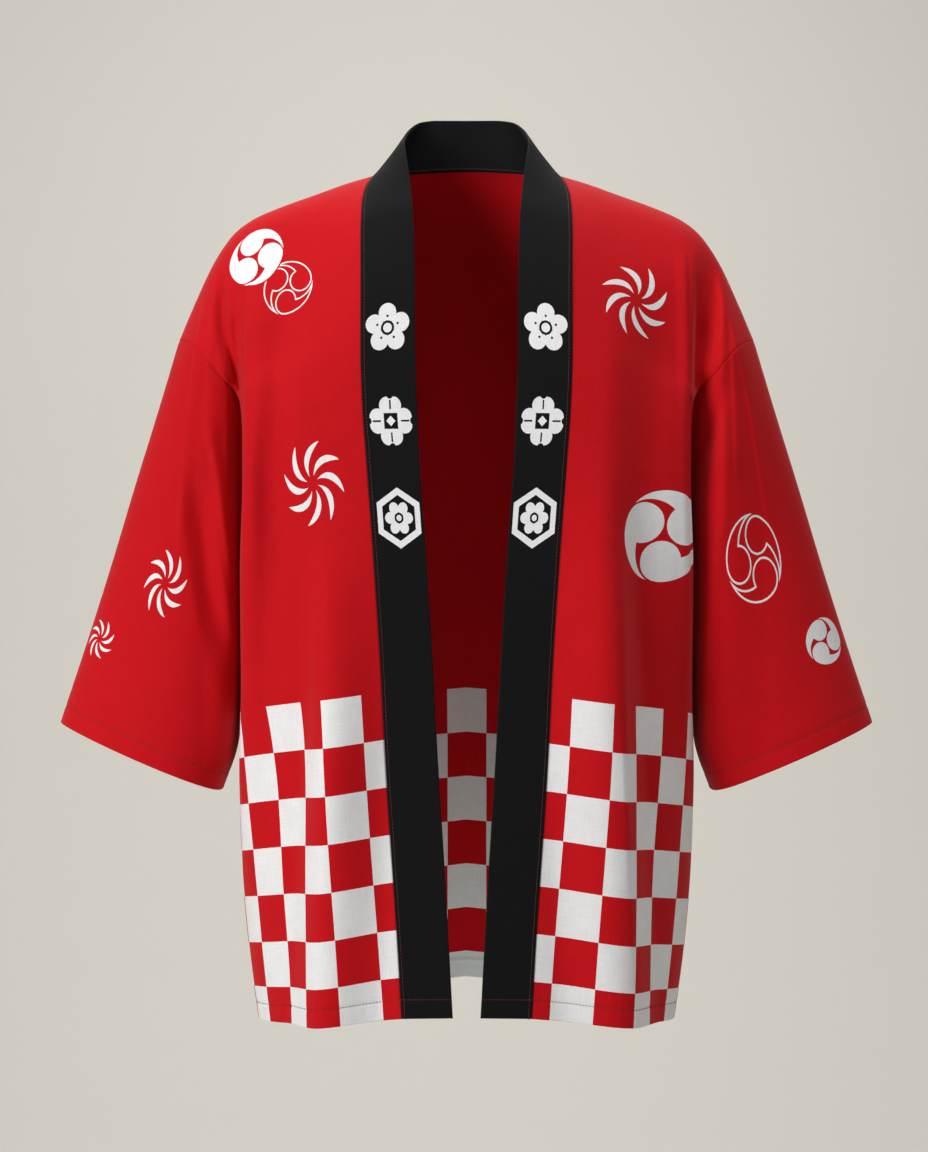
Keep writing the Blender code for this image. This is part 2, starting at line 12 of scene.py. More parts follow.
import bpy
import numpy as np
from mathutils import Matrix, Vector

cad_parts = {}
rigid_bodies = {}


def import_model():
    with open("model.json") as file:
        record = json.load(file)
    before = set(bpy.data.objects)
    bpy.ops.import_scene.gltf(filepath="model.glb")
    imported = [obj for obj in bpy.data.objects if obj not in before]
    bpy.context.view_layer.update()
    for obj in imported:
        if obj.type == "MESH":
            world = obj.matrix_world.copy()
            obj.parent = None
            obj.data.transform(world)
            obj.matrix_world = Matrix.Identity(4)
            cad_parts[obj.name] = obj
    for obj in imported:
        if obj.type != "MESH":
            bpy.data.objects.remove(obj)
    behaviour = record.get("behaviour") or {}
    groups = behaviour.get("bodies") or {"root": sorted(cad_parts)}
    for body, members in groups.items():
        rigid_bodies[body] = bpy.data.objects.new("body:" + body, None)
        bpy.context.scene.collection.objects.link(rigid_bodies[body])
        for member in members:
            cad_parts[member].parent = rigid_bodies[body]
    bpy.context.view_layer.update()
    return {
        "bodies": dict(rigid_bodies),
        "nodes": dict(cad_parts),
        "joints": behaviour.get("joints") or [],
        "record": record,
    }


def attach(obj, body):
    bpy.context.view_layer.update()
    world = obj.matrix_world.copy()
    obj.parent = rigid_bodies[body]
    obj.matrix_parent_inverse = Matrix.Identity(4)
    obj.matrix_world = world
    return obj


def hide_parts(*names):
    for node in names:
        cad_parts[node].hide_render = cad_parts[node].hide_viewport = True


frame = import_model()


# ---- Fronts ----
# Two panels of plain-woven cotton, dyed red and printed in white, one on each side of the open front.
# Each runs from the shoulder seam to a hem turned up once and stitched. The sleeve and the back are sewn to
# its outer edge, and the collar band to its inner one.

# The line of the shoulder seam, from the neck to the top of the sleeve seam
Ridge = namedtuple("Ridge", "x z")
RIDGE = (
    Ridge(0.0875, 0.0040),
    Ridge(0.1138, -0.0037),
    Ridge(0.1445, -0.0147),
    Ridge(0.1766, -0.0262),
    Ridge(0.2040, -0.0382),
    Ridge(0.2208, -0.0503),
    Ridge(0.2294, -0.0603),
    Ridge(0.2424, -0.0805),
    Ridge(0.2606, -0.1195),
    Ridge(0.2760, -0.1560),
)

# A front's sections, from the shoulder seam down to the hem. edge is the collar seam, wide the widest place,
# and side the sleeve seam or, below the armpit, the side seam. ring is how much of the section is a
# superellipse of the given power, the rest being straight.
Front = namedtuple("Front", "v edge_x edge_y edge_z wide_x wide_y power ring side_x side_y side_z")
FRONT = (
    Front(0.000, 0.0875, 0.000, 0.004, 0.2760, 0.000, 2.6, 0.0, 0.2760, 0.000, -0.1560),
    Front(0.035, 0.0905, -0.014, -0.002, 0.2728, -0.022, 2.6, 0.0, 0.2728, -0.022, -0.1565),
    Front(0.070, 0.0935, -0.029, -0.010, 0.2660, -0.039, 2.6, 0.0, 0.2660, -0.039, -0.1585),
    Front(0.120, 0.0962, -0.054, -0.028, 0.2560, -0.055, 2.6, 0.0, 0.2560, -0.055, -0.1650),
    Front(0.170, 0.0965, -0.080, -0.053, 0.2440, -0.066, 2.6, 0.1, 0.2440, -0.066, -0.1780),
    Front(0.220, 0.0958, -0.102, -0.090, 0.2320, -0.070, 2.6, 0.3, 0.2320, -0.070, -0.1920),
    Front(0.270, 0.0953, -0.117, -0.130, 0.2200, -0.069, 2.6, 0.6, 0.2190, -0.064, -0.2065),
    Front(0.320, 0.0950, -0.126, -0.175, 0.2115, -0.074, 2.7, 0.9, 0.2080, -0.044, -0.2330),
    Front(0.370, 0.0932, -0.131, -0.225, 0.2095, -0.076, 2.8, 1.0, 0.2042, -0.017, -0.2650),
    Front(0.420, 0.0895, -0.135, -0.275, 0.2095, -0.074, 2.8, 1.0, 0.2030, 0.012, -0.3000),
    Front(0.500, 0.0832, -0.139, -0.360, 0.2125, -0.064, 2.6, 1.0, 0.2030, 0.013, -0.3850),
    Front(0.600, 0.0768, -0.142, -0.460, 0.2130, -0.045, 2.3, 1.0, 0.2045, 0.012, -0.4850),
    Front(0.700, 0.0722, -0.145, -0.550, 0.2160, -0.025, 2.1, 1.0, 0.2110, 0.010, -0.5750),
    Front(0.800, 0.0668, -0.148, -0.630, 0.2140, -0.018, 2.0, 1.0, 0.2120, 0.008, -0.6550),
    Front(0.900, 0.0615, -0.150, -0.707, 0.2080, -0.015, 2.0, 1.0, 0.2065, 0.006, -0.7320),
    Front(1.000, 0.0570, -0.152, -0.784, 0.1985, -0.012, 2.0, 1.0, 0.1975, 0.004, -0.8035),
)

# Folds. Each runs from start_z down to end_z through three places across the coat, stands lift metres out
# of the cloth (below 0, a trough), and fades over inner and outer metres to its two sides. Side -1 is the
# wearer's right. On each side the first and largest runs down to the hem, and the others are hollows by the
# armhole and smaller creases.
Fold = namedtuple("Fold", "start_z full_z ease_z end_z start_x mid_x end_x inner outer lift")
FRONT_FOLDS = {
    -1: (
        Fold(-0.26, -0.58, -0.95, -1.00, 0.126, 0.126, 0.138, 0.064, 0.031, 0.033),
        Fold(-0.10, -0.20, -0.30, -0.44, 0.172, 0.178, 0.172, 0.024, 0.022, -0.006),
        Fold(-0.07, -0.26, -0.28, -0.345, 0.217, 0.2145, 0.2140, 0.006, 0.011, -0.017),
        Fold(-0.08, -0.13, -0.18, -0.23, 0.2340, 0.2260, 0.2080, 0.005, 0.012, -0.0100),
        Fold(-0.27, -0.33, -0.42, -0.50, 0.257, 0.242, 0.218, 0.016, 0.020, -0.009),
        Fold(-0.24, -0.33, -0.50, -0.64, 0.2140, 0.2140, 0.2140, 0.0045, 0.036, 0.016),
        Fold(-0.09, -0.15, -0.36, -0.58, 0.204, 0.2065, 0.2080, 0.036, 0.004, 0.0065),
        Fold(-0.22, -0.30, -0.58, -0.70, 0.2095, 0.2105, 0.2105, 0.026, 0.0035, 0.010),
        Fold(-0.10, -0.16, -0.32, -0.40, 0.247, 0.2645, 0.275, 0.014, 0.0028, 0.0024),
        Fold(-0.06, -0.12, -0.18, -0.24, 0.235, 0.2415, 0.2440, 0.010, 0.0028, 0.0018),
        Fold(-0.34, -0.42, -0.56, -0.68, 0.1345, 0.1375, 0.1415, 0.044, 0.010, 0.0035),
        Fold(-0.22, -0.28, -0.36, -0.42, 0.244, 0.229, 0.213, 0.010, 0.008, 0.004),
    ),
    1: (
        Fold(-0.24, -0.49, -0.95, -1.00, 0.130, 0.138, 0.154, 0.072, 0.029, 0.032),
        Fold(-0.08, -0.20, -0.34, -0.56, 0.187, 0.173, 0.175, 0.053, 0.074, -0.017),
        Fold(-0.07, -0.16, -0.23, -0.33, 0.219, 0.2160, 0.2155, 0.006, 0.026, -0.016),
        Fold(-0.05, -0.09, -0.15, -0.21, 0.2365, 0.2325, 0.2220, 0.021, 0.011, -0.0080),
        Fold(-0.22, -0.26, -0.28, -0.33, 0.231, 0.220, 0.213, 0.012, 0.014, -0.005),
        Fold(-0.20, -0.28, -0.60, -0.70, 0.222, 0.223, 0.223, 0.012, 0.060, 0.013),
        Fold(-0.06, -0.10, -0.40, -0.55, 0.2055, 0.2075, 0.2090, 0.012, 0.004, 0.0025),
        Fold(-0.09, -0.13, -0.22, -0.28, 0.243, 0.239, 0.214, 0.010, 0.010, 0.0018),
        Fold(-0.20, -0.26, -0.36, -0.44, 0.241, 0.240, 0.226, 0.010, 0.010, 0.0018),
        Fold(-0.21, -0.25, -0.28, -0.33, 0.236, 0.224, 0.208, 0.009, 0.009, -0.003),
        Fold(-0.10, -0.15, -0.28, -0.36, 0.240, 0.268, 0.288, 0.0030, 0.014, 0.0017),
        Fold(-0.13, -0.17, -0.25, -0.31, 0.249, 0.2515, 0.253, 0.0030, 0.010, 0.0013),
        Fold(-0.34, -0.42, -0.56, -0.68, 0.1430, 0.1455, 0.1480, 0.008, 0.005, 0.0016),
    ),
}
FOLDS_END = -0.80  # the folds' paths end at this level
HEM_SAG = 0.002  # how much lower the hem hangs between its seams
SHOULDER = 0.30  # the share of the way down a panel over which it stops following the shoulder seam
FOLD_TOP = 0.12  # the share of a panel over which its folds set in
FOLD_EDGE = 0.003  # how far short of the widest place they end, where the panel tucks in under the arm
TUCK = 0.004  # and how deep such a tuck is for that
NECK_HALF = 0.0875  # half the width of the neck hole at the shoulder seams
NECK_BACK = 0.068  # how far behind the shoulder seams the neckline lies at the centre
NECK_RISE = 0.012  # and how far above their neck ends
NECK_ROUND = 0.60  # under 1, how blunt the neckline's curve is
TRACE = 260  # points on a section before it is divided


def smooth(t):
    """0 to 1, level at both ends."""
    t = np.clip(t, 0.0, 1.0)
    return t * t * (3.0 - 2.0 * t)


def mix(a, b, t):
    return a + (b - a) * t


@lru_cache(maxsize=None)
def column(rows, key, name):
    """A table column's keys, values and slopes, for a cubic that never overshoots them."""
    keys = np.array([getattr(row, key) for row in rows])
    values = np.array([getattr(row, name) for row in rows])
    rate = np.diff(values) / np.diff(keys)
    inner = [2.0 * a * b / (a + b) if a * b > 0 else 0.0 for a, b in zip(rate, rate[1:])]
    return keys, values, np.array([rate[0]] + inner + [rate[-1]])


def look_up(rows, key, name, at):
    """A column of a table at any places between its rows."""
    keys, values, slope = column(rows, key, name)
    at = np.clip(at, keys[0], keys[-1])
    i = np.searchsorted(keys[1:-1], at)
    step = keys[i + 1] - keys[i]
    t = (at - keys[i]) / step
    rise = values[i + 1] - values[i]
    first, last = slope[i] * step, slope[i + 1] * step
    return values[i] + t * (first + t * (3 * rise - 2 * first - last + t * (first + last - 2 * rise)))


def section(table, at):
    """A table's row at any place between its first and last."""
    kind = type(table[0])
    return kind(at, *[look_up(table, kind._fields[0], name, at) for name in kind._fields[1:]])


def fold_lift(folds, x, z):
    """How far all the folds together stand out of the cloth at each place."""
    total = np.zeros_like(x + z)
    for fold in folds:
        along = smooth((fold.start_z - z) / (fold.start_z - fold.full_z))
        along = along * smooth((z - fold.end_z) / (fold.ease_z - fold.end_z))
        run = 2 * np.clip((fold.start_z - z) / (fold.start_z - max(fold.end_z, FOLDS_END)), 0.0, 1.0)
        path = np.where(run < 1, mix(fold.start_x, fold.mid_x, run), mix(fold.mid_x, fold.end_x, run - 1))
        off = np.abs(x) - path
        spread = np.where(off < 0, fold.inner, fold.outer)
        total += fold.lift * along * smooth(1.0 - np.abs(off) / spread)
    return total


def fold_room(v, side_x, wide_x, x):
    """The share of a fold's depth at a place: none on the seam at the top, nor at the widest place."""
    tucked = smooth((wide_x - side_x) / TUCK)
    return smooth(v / FOLD_TOP) * mix(1.0, smooth((wide_x - x) / FOLD_EDGE), tucked)


def ring_share(row, x):
    """How far out a superellipse stands at x: 1 at the middle, 0 at its widest place."""
    return (1.0 - np.minimum(np.abs(x) / row.wide_x, 1.0) ** row.power) ** (1.0 / row.power)


def neck_curve(x, power):
    """The neckline's curve behind and above the neck ends: 1 at the middle, 0 at both of them."""
    return np.maximum(1.0 - (x / NECK_HALF) ** 2, 0.0) ** power


def lengths_of(points):
    """How far along a line each of its points is."""
    return np.concatenate(([0.0], np.cumsum(np.linalg.norm(np.diff(points, axis=0), axis=1))))


def divide(points, wanted):
    """The points at these lengths along a line."""
    lengths = lengths_of(points)
    return np.stack([np.interp(wanted, lengths, points[:, k]) for k in range(3)], axis=1)


def panel_row(table, side, v):
    """A section of a front or of half of the back, from its collar seam or its middle out to its side."""
    row = section(table, v)
    front = table is FRONT
    folds = (FRONT_FOLDS if front else BACK_FOLDS)[side]
    if front:
        start_x, start_z, neck, shelf = row.edge_x, row.edge_z, 0.0, row.edge_y
        middle = row.wide_y + (row.edge_y - row.wide_y) / ring_share(row, row.edge_x)
    else:
        start_x, start_z, neck = 0.0, row.mid_z - row.neck * NECK_RISE, row.neck
        shelf = middle = row.mid_y - neck * NECK_BACK
    across = np.sin(np.linspace(0.0, math.pi / 2, TRACE))
    x = mix(start_x, row.wide_x, across)
    curved = row.wide_y + (middle - row.wide_y) * ring_share(row, x)
    y = mix(mix(shelf, row.wide_y, across), curved, row.ring) + neck * NECK_BACK * neck_curve(x, NECK_ROUND)
    tuck = np.linspace(0.0, 1.0, TRACE // 2)[1:]
    x = np.concatenate((x, mix(row.wide_x, row.side_x, smooth(tuck))))
    y = np.concatenate((y, mix(row.wide_y, row.side_y, tuck)))
    share = lengths_of(np.stack((x, y), axis=1))
    share = share / share[-1]
    inner = row.edge_x if front else NECK_HALF
    reach = np.clip((x - inner) / (row.side_x - inner), 0.0, 1.0)
    top = look_up(RIDGE, "x", "z", mix(NECK_HALF, RIDGE[-1].x, reach))
    ridge = (top - RIDGE[0].z) / (RIDGE[-1].z - RIDGE[0].z)
    drop = mix(share, ridge, 1.0 - smooth(v / SHOULDER))
    z = mix(start_z, row.side_z, drop) - HEM_SAG * v ** 3 * np.sin(math.pi * share)
    z = z + neck * NECK_RISE * neck_curve(x, 1.0)
    lift = fold_lift(folds, x, z) * fold_room(v, row.side_x, row.wide_x, x)
    return np.stack((side * x, y + (-lift if front else lift), z), axis=1)


CLOTH = 0.0009  # the cotton's thickness
PANEL_LENGTH = 0.8427  # down the collar seam of a front
HEM = 0.0190  # how far up a panel is turned
HEM_STITCH = 0.0172  # and where it is stitched
ARMPIT = 0.42  # the share of the way down a panel where the sleeve seam ends
CROWDING = 0.4  # how much closer together the rows are at the shoulder
ARM_ROWS = 90  # from the shoulder down to the armpit
BODY_ROWS = 130  # from the armpit down to the hem
FRONT_COLUMNS = 130
NEAR = (0.0, 0.0005, 0.0012, 0.0022, 0.0036)  # places close to a seam or to a row of stitches
ROUND = (0.0, 0.0001, 0.0003, 0.0006, 0.0010)  # and on a rounded edge
ARMHOLE = (0.235, 0.005, -0.235)  # its middle, on the wearer's left
SEAM_DIP = 0.0008  # how deep the cloth rolls in at a seam
SEAM_ROLL = 0.0022  # and over what width
STITCH_DIP = 0.0004  # how deep a row of stitches pulls the cloth in
STITCH_PULL = 0.0022  # and over what width on each side
PUCKER = 0.00022  # half the height of the small waves along a stitched hem
PUCKER_REACH = 0.010  # how far from the stitches they fade out
WAVE, WAVE_DRIFT, WAVE_SHOW = 0.0016, 0.0071, 0.021  # lengths, over 2 pi, of the waves and of their changes
WAVE_SHIFT = 1.7  # how far the waves drift along
HEM_RISE = (0.012, 0.002, 16)  # rows from above the stitches down to close to the fold, and their number
HEM_EDGE = 0.0007  # how wide the step at a hem's turned edge is
THIN = 0.15  # the share of its wall that the cloth keeps where an edge is rounded
TOO_CLOSE = 0.00008  # rows by the hem that are nearer to each other than this are one
TOP_GAP = 0.0008  # the share of a panel between its rows by the shoulder seam and the next one, or more
LEVEL = 0.5  # the share of the way down a panel from which its rows are level in the fabric
TURN = 0.03  # the share of a panel below the armpit over which the seam turns to the side seam
SEAM_FADE = 0.006  # how far from a seam's end it starts to roll in
STEEPEST = 0.3  # the least share of a step across the form that counts as across in the fabric


def spread(whole, count, first=NEAR, last=NEAR):
    """Even places along a length, with the given ones next to its two ends."""
    even = np.linspace(first[-1], whole - last[-1], count)
    return np.concatenate((first[:-1], even, whole - np.array(last[-2::-1])))


def arm_places(count):
    """Places from the shoulder to the armpit, as shares of the way, closer together at the top."""
    even = np.linspace(0.0, 1.0, count)
    return mix(even, even ** 2, CROWDING)


def hem_places(whole, hem, stitch):
    """The last places before a hem, with more close to its stitches, its turned edge and its fold."""
    pull = [whole - stitch + way * near for way in (-1, 1) for near in NEAR[:4]]
    turned = [whole - hem - near for near in (0.0, 0.0003, HEM_EDGE)]
    above, below, count = HEM_RISE
    rise = np.linspace(whole - stitch - above, whole - below, count)
    found = np.unique(np.round(np.concatenate((pull, turned, rise, whole - np.array(ROUND))), 5))
    return found[np.concatenate(([True], np.diff(found) > TOO_CLOSE))]


def panel_places():
    """How far down a panel its rows are, as shares of its length."""
    top = ARMPIT * arm_places(ARM_ROWS)
    seam = np.array(NEAR) / PANEL_LENGTH
    hem = hem_places(PANEL_LENGTH, HEM, HEM_STITCH) / PANEL_LENGTH
    body = np.linspace(ARMPIT, hem[0], BODY_ROWS)[1:-1]
    return np.concatenate((seam, top[top > seam[-1] + TOP_GAP], body, hem))


def unit(vectors):
    return vectors / np.linalg.norm(vectors, axis=-1, keepdims=True)


def normals_of(grid):
    """A unit normal at each point of a grid, all on the same side of it."""
    return unit(np.cross(np.gradient(grid, axis=1), np.gradient(grid, axis=0)))


def gone(grid, axis):
    """How far each point of a grid is from the start of its row or column, and how long that is."""
    steps = np.linalg.norm(np.diff(grid, axis=axis), axis=2)
    none = np.zeros_like(np.take(steps, [0], axis=axis))
    run = np.concatenate((none, np.cumsum(steps, axis=axis)), axis=axis)
    return run, np.take(run, [-1], axis=axis)


def roll_in(away, way):
    """How a seam's cloth rolls in, away metres from it, along one way or one for each point."""
    return (SEAM_DIP * np.maximum(1.0 - away / SEAM_ROLL, 0.0) ** 2)[..., None] * way


def side_way(side, edge, places):
    """The way in at a panel's side: to the middle of the armhole, and below the armpit into the body."""
    arm = unit(np.array(ARMHOLE) * (side, 1, 1) - edge)
    below = smooth((places - ARMPIT) / TURN)[:, None]
    return unit(mix(arm, np.array((-side, 0.0, 0.0)), below))


def ridge_way(side, x):
    """The way into the coat at places on the shoulder seam: square to it, and down."""
    near = 0.002
    fall = look_up(RIDGE, "x", "z", x + near) - look_up(RIDGE, "x", "z", x - near)
    return unit(np.stack((side * fall, np.zeros_like(x), np.full_like(x, -2 * near)), axis=1))


def fabric_places(grid, start, level):
    """How far across and up the flat fabric each point of a grid is, in metres.

    Across is 0 in the start column. From the row level down, rows are level in the fabric too.
    """
    steps = np.linalg.norm(np.diff(grid, axis=0), axis=2)
    steps[level:] = steps[level:, [start]]
    up = np.concatenate((np.cumsum(steps[::-1], axis=0)[::-1], np.zeros_like(steps[:1])))
    wide = np.linalg.norm(np.diff(grid, axis=1), axis=2)
    wide = np.sqrt(np.maximum(wide ** 2 - np.diff(up, axis=1) ** 2, (STEEPEST * wide) ** 2))
    across = np.concatenate((np.zeros_like(wide[:, :1]), np.cumsum(wide, axis=1)), axis=1)
    return across - across[:, [start]], up


def hem_shape(across, up, hem, stitch):
    """How far in a turned and stitched hem's outer face is pulled, and how thick the cloth is there."""
    furrow = STITCH_DIP * np.exp(-((up - stitch) / STITCH_PULL) ** 2)
    wave = np.sin(across / WAVE + WAVE_SHIFT * np.sin(across / WAVE_DRIFT)) * np.sin(across / WAVE_SHOW + 1.0)
    furrow += PUCKER * wave * np.exp(-((up - stitch) / PUCKER_REACH) ** 2)
    wall = CLOTH * (2.0 - smooth((up - hem) / HEM_EDGE))
    bend = np.sqrt(1.0 - np.maximum(1.0 - up / ROUND[-1], 0.0) ** 2)
    return furrow + wall * (1.0 - bend) / 2, wall * np.maximum(bend, THIN)


# A sheet's outer face, the way out of it, its wall, and each point's place across and up the flat fabric
Sheet = namedtuple("Sheet", "outer outward wall across up")
SHEETS = {}


def add_object(name, data):
    item = bpy.data.objects.new(name, data)
    bpy.context.scene.collection.objects.link(item)
    return item


def add_sheet(name, outer, outward, wall, across, up):
    """A closed sheet: a grid of points is its outer face, and the inner one stands back by the wall.

    Each point keeps its place in the flat fabric, and 0 or 1 for the outer or inner face.
    """
    rows, columns = wall.shape
    count = rows * columns
    at = np.arange(count).reshape(rows, columns)
    quads = np.stack((at[:-1, :-1], at[:-1, 1:], at[1:, 1:], at[1:, :-1]), axis=-1).reshape(-1, 4)
    rim = np.concatenate((at[0, :-1], at[:-1, -1], at[-1, :0:-1], at[:0:-1, 0]))
    after = np.roll(rim, -1)
    sides = np.stack((rim, rim + count, after + count, after), axis=-1)
    quads = np.concatenate((quads, quads[:, ::-1] + count, sides))
    middle = outward[rows // 2, columns // 2]
    if np.dot(normals_of(outer)[rows // 2, columns // 2], middle) > 0:
        quads = quads[:, ::-1]
    mesh = bpy.data.meshes.new(name)
    inner = outer - outward * wall[..., None]
    points = np.concatenate((outer.reshape(-1, 3), inner.reshape(-1, 3)))
    mesh.from_pydata(points.tolist(), [], quads.tolist())
    mesh.shade_smooth()
    face = np.repeat((0.0, 1.0), count)
    flat = np.stack((np.tile(across.ravel(), 2), np.tile(up.ravel(), 2), face), axis=1)
    mesh.attributes.new("fabric", "FLOAT_VECTOR", "POINT").data.foreach_set("vector", flat.ravel())
    SHEETS[name] = Sheet(outer, outward, wall, across, up)
    return add_object(name, mesh)


def add_front(side, name):
    places = panel_places()
    grid = []
    for v in places:
        line = panel_row(FRONT, side, v)
        grid.append(divide(line, spread(lengths_of(line)[-1], FRONT_COLUMNS)))
    grid = np.array(grid)
    across, up = fabric_places(grid, 0, int(np.searchsorted(places, LEVEL)))
    in_side = side_way(side, grid[:, -1], places)
    in_top = ridge_way(side, np.abs(grid[0, :, 0]))
    run, whole = gone(grid, 1)
    down = gone(grid, 0)[0]
    top = roll_in(down, in_top[None]) * smooth((RIDGE[-1].x - np.abs(grid[:1, :, :1])) / SEAM_FADE)
    pull, wall = hem_shape(across, up, HEM, HEM_STITCH)
    outward = -side * normals_of(grid)
    outer = grid + roll_in(whole - run, in_side[:, None]) + top - outward * pull[..., None]
    outward[0] = -in_top
    outward[:, -1] = -in_side
    return add_sheet(name, outer, outward, wall, across, up)


class Wire:
    """A number, a vector or a geometry in a node tree. Arithmetic on numbers adds the nodes that do it."""

    def __init__(self, tree, socket):
        self.tree = tree
        self.socket = socket

    def node(self, kind, settings=None, inputs=None, output=0):
        """Adds a node of any type: its settings come first, then the values and links of its inputs."""
        node = self.tree.nodes.new(kind)
        for name, value in (settings or {}).items():
            setattr(node, name, value)
        for name, value in (inputs or {}).items():
            if isinstance(value, Wire):
                self.tree.links.new(value.socket, node.inputs[name])
            else:
                node.inputs[name].default_value = value
        return Wire(self.tree, node.outputs[output])

    def maths(self, operation, *values):
        return self.node("ShaderNodeMath", {"operation": operation}, dict(enumerate(values)))

    def __add__(self, other):
        return self.maths("ADD", self, other)

    def __sub__(self, other):
        return self.maths("SUBTRACT", self, other)

    def __rsub__(self, other):
        return self.maths("SUBTRACT", other, self)

    def __mul__(self, other):
        return self.maths("MULTIPLY", self, other)

    def __truediv__(self, other):
        return self.maths("DIVIDE", self, other)

    def __rtruediv__(self, other):
        return self.maths("DIVIDE", other, self)

    def __pow__(self, other):
        return self.maths("POWER", self, other)

    def __neg__(self):
        return self.maths("MULTIPLY", self, -1.0)

    def __abs__(self):
        return self.maths("ABSOLUTE", self)

    def __lt__(self, other):
        return self.maths("LESS_THAN", self, other)

    def __gt__(self, other):
        return self.maths("GREATER_THAN", self, other)

    __radd__ = __add__
    __rmul__ = __mul__

    def least(self, other):
        return self.maths("MINIMUM", self, other)

    def most(self, other):
        return self.maths("MAXIMUM", self, other)

    def floor(self):
        return self.maths("FLOOR", self)

    def sine(self):
        return self.maths("SINE", self)

    def cosine(self):
        return self.maths("COSINE", self)

    def angle(self, other):
        """The angle of the vector that has these two numbers, in radians anticlockwise."""
        return self.maths("ARCTAN2", other, self)

    def wrap(self, high, low=0.0):
        return self.maths("WRAP", self, high, low)

    def length(self, other):
        """The length of the vector that has these two numbers."""
        return (self * self + other * other) ** 0.5

    def times(self, scale):
        """This vector with each of its numbers multiplied by the scale's."""
        return self.node("ShaderNodeVectorMath", {"operation": "MULTIPLY"}, {0: self, 1: scale})

    def split(self):
        return [self.node("ShaderNodeSeparateXYZ", None, {0: self}, k) for k in range(3)]

    def ramp(self, low, high):
        """0 below low, 1 above high, and smooth between them."""
        settings = {"interpolation_type": "SMOOTHSTEP"}
        return self.node("ShaderNodeMapRange", settings, {"Value": self, "From Min": low, "From Max": high})

    def noise(self, size, detail=2.0, output=0):
        """Noise with features of this size in metres. Output 1 is a vector of three different ones."""
        inputs = {"Vector": self, "Scale": 1.0 / size, "Detail": detail}
        return self.node("ShaderNodeTexNoise", None, inputs, output)

    def bump(self, strength, distance, below=None):
        """A normal with these heights on it, above another bump or straight on the surface."""
        inputs = {"Strength": strength, "Distance": distance, "Height": self}
        if below:
            inputs["Normal"] = below
        return self.node("ShaderNodeBump", None, inputs)

    def blend(self, first, second):
        """One colour where this is 0 and another where it is 1."""
        inputs = {0: self, 6: first, 7: second}
        return self.node("ShaderNodeMix", {"data_type": "RGBA"}, inputs, 2)


# A printed figure: its kind, its middle across and up the flat fabric, half its width and height, and how
# far it is turned, in degrees anticlockwise. hand is 1 where its tails point anticlockwise and -1 where they
# point clockwise. line is 0 for a filled figure, or the width of its outline as a share of its radius.
Figure = namedtuple("Figure", "kind across up wide tall turn hand line")
TOMOE_HEAD = (0.55, 0.445)  # how far out a comma's head lies, and its radius
TOMOE_TAIL = (-0.276, 0.2155, 0.747)  # the circle inside which the next comma's tail is cut away
BLADES = 8
BLADE_START = 0.17  # how far out a pinwheel's blades start
BLADE_SWEEP = math.radians(46)  # how far round they bend
BLADE_BEND = 1.4  # over 1, how much more of that is near the rim
BLADE_WIDEST = 1.25  # over 1, how much nearer the rim they are widest
BLADE_HALF = 0.080  # half their greatest width
BLADE_FLARE = 0.7  # how much wider than that they are towards the rim
FIGURE_MARGIN = 1.06  # how far out, in its own radius, a figure keeps what is under it away


def tomoe(x, y):
    """Three commas that chase each other round a disc: above 0 outside them."""
    from_middle = x.length(y)
    third = math.radians(120)
    turn = x.angle(y).wrap(third)
    x, y = from_middle * turn.cosine(), from_middle * turn.sine()
    out, radius = TOMOE_HEAD
    head = (x - out).length(y) - radius
    next_head = (x + out / 2).length(y - out * math.sin(third)) - radius
    tail_x, tail_y, tail_radius = TOMOE_TAIL
    tail = tail_radius - (x - tail_x).length(y - tail_y)
    return (from_middle - 1.0).most(head.least(next_head).least(tail))


def pinwheel(x, y):
    """Curved blades round an open middle: above 0 outside them."""
    out = x.length(y)
    share = ((out - BLADE_START) / (1.0 - BLADE_START)).most(0.0).least(1.0)
    sweep = share ** BLADE_BEND * BLADE_SWEEP
    half_step = math.pi / BLADES
    off = (x.angle(y) - sweep).wrap(half_step, -half_step)
    along = share ** BLADE_WIDEST
    width = along * (1.0 - along) * 4.0 * (1.0 + share * out * BLADE_FLARE)
    return abs(off) * out - width * BLADE_HALF


SHAPES = {"tomoe": tomoe, "pinwheel": pinwheel}  # each figure's shape, above 0 outside it


def printed(across, up, figures, way):
    """How much white print there is at a place: 1 inside any of the figures.

    way is 1 where across grows to the right on the outer face, and -1 where it grows to the left.
    """
    total = None
    for figure in figures:
        x, y = (across - figure.across) * (way / figure.wide), (up - figure.up) / figure.tall
        turn = math.radians(figure.turn)
        x, y = x * math.cos(turn) + y * math.sin(turn), y * math.cos(turn) - x * math.sin(turn)
        if figure.hand < 0:
            y = -y
        shape = SHAPES[figure.kind](x, y)
        if figure.line:
            shape = abs(shape + figure.line / 2) - figure.line / 2
        mark = shape < 0.0
        if total is None:
            total = mark
        else:
            apart = x.length(y) > FIGURE_MARGIN
            total = (total * apart).most(mark)
    return total


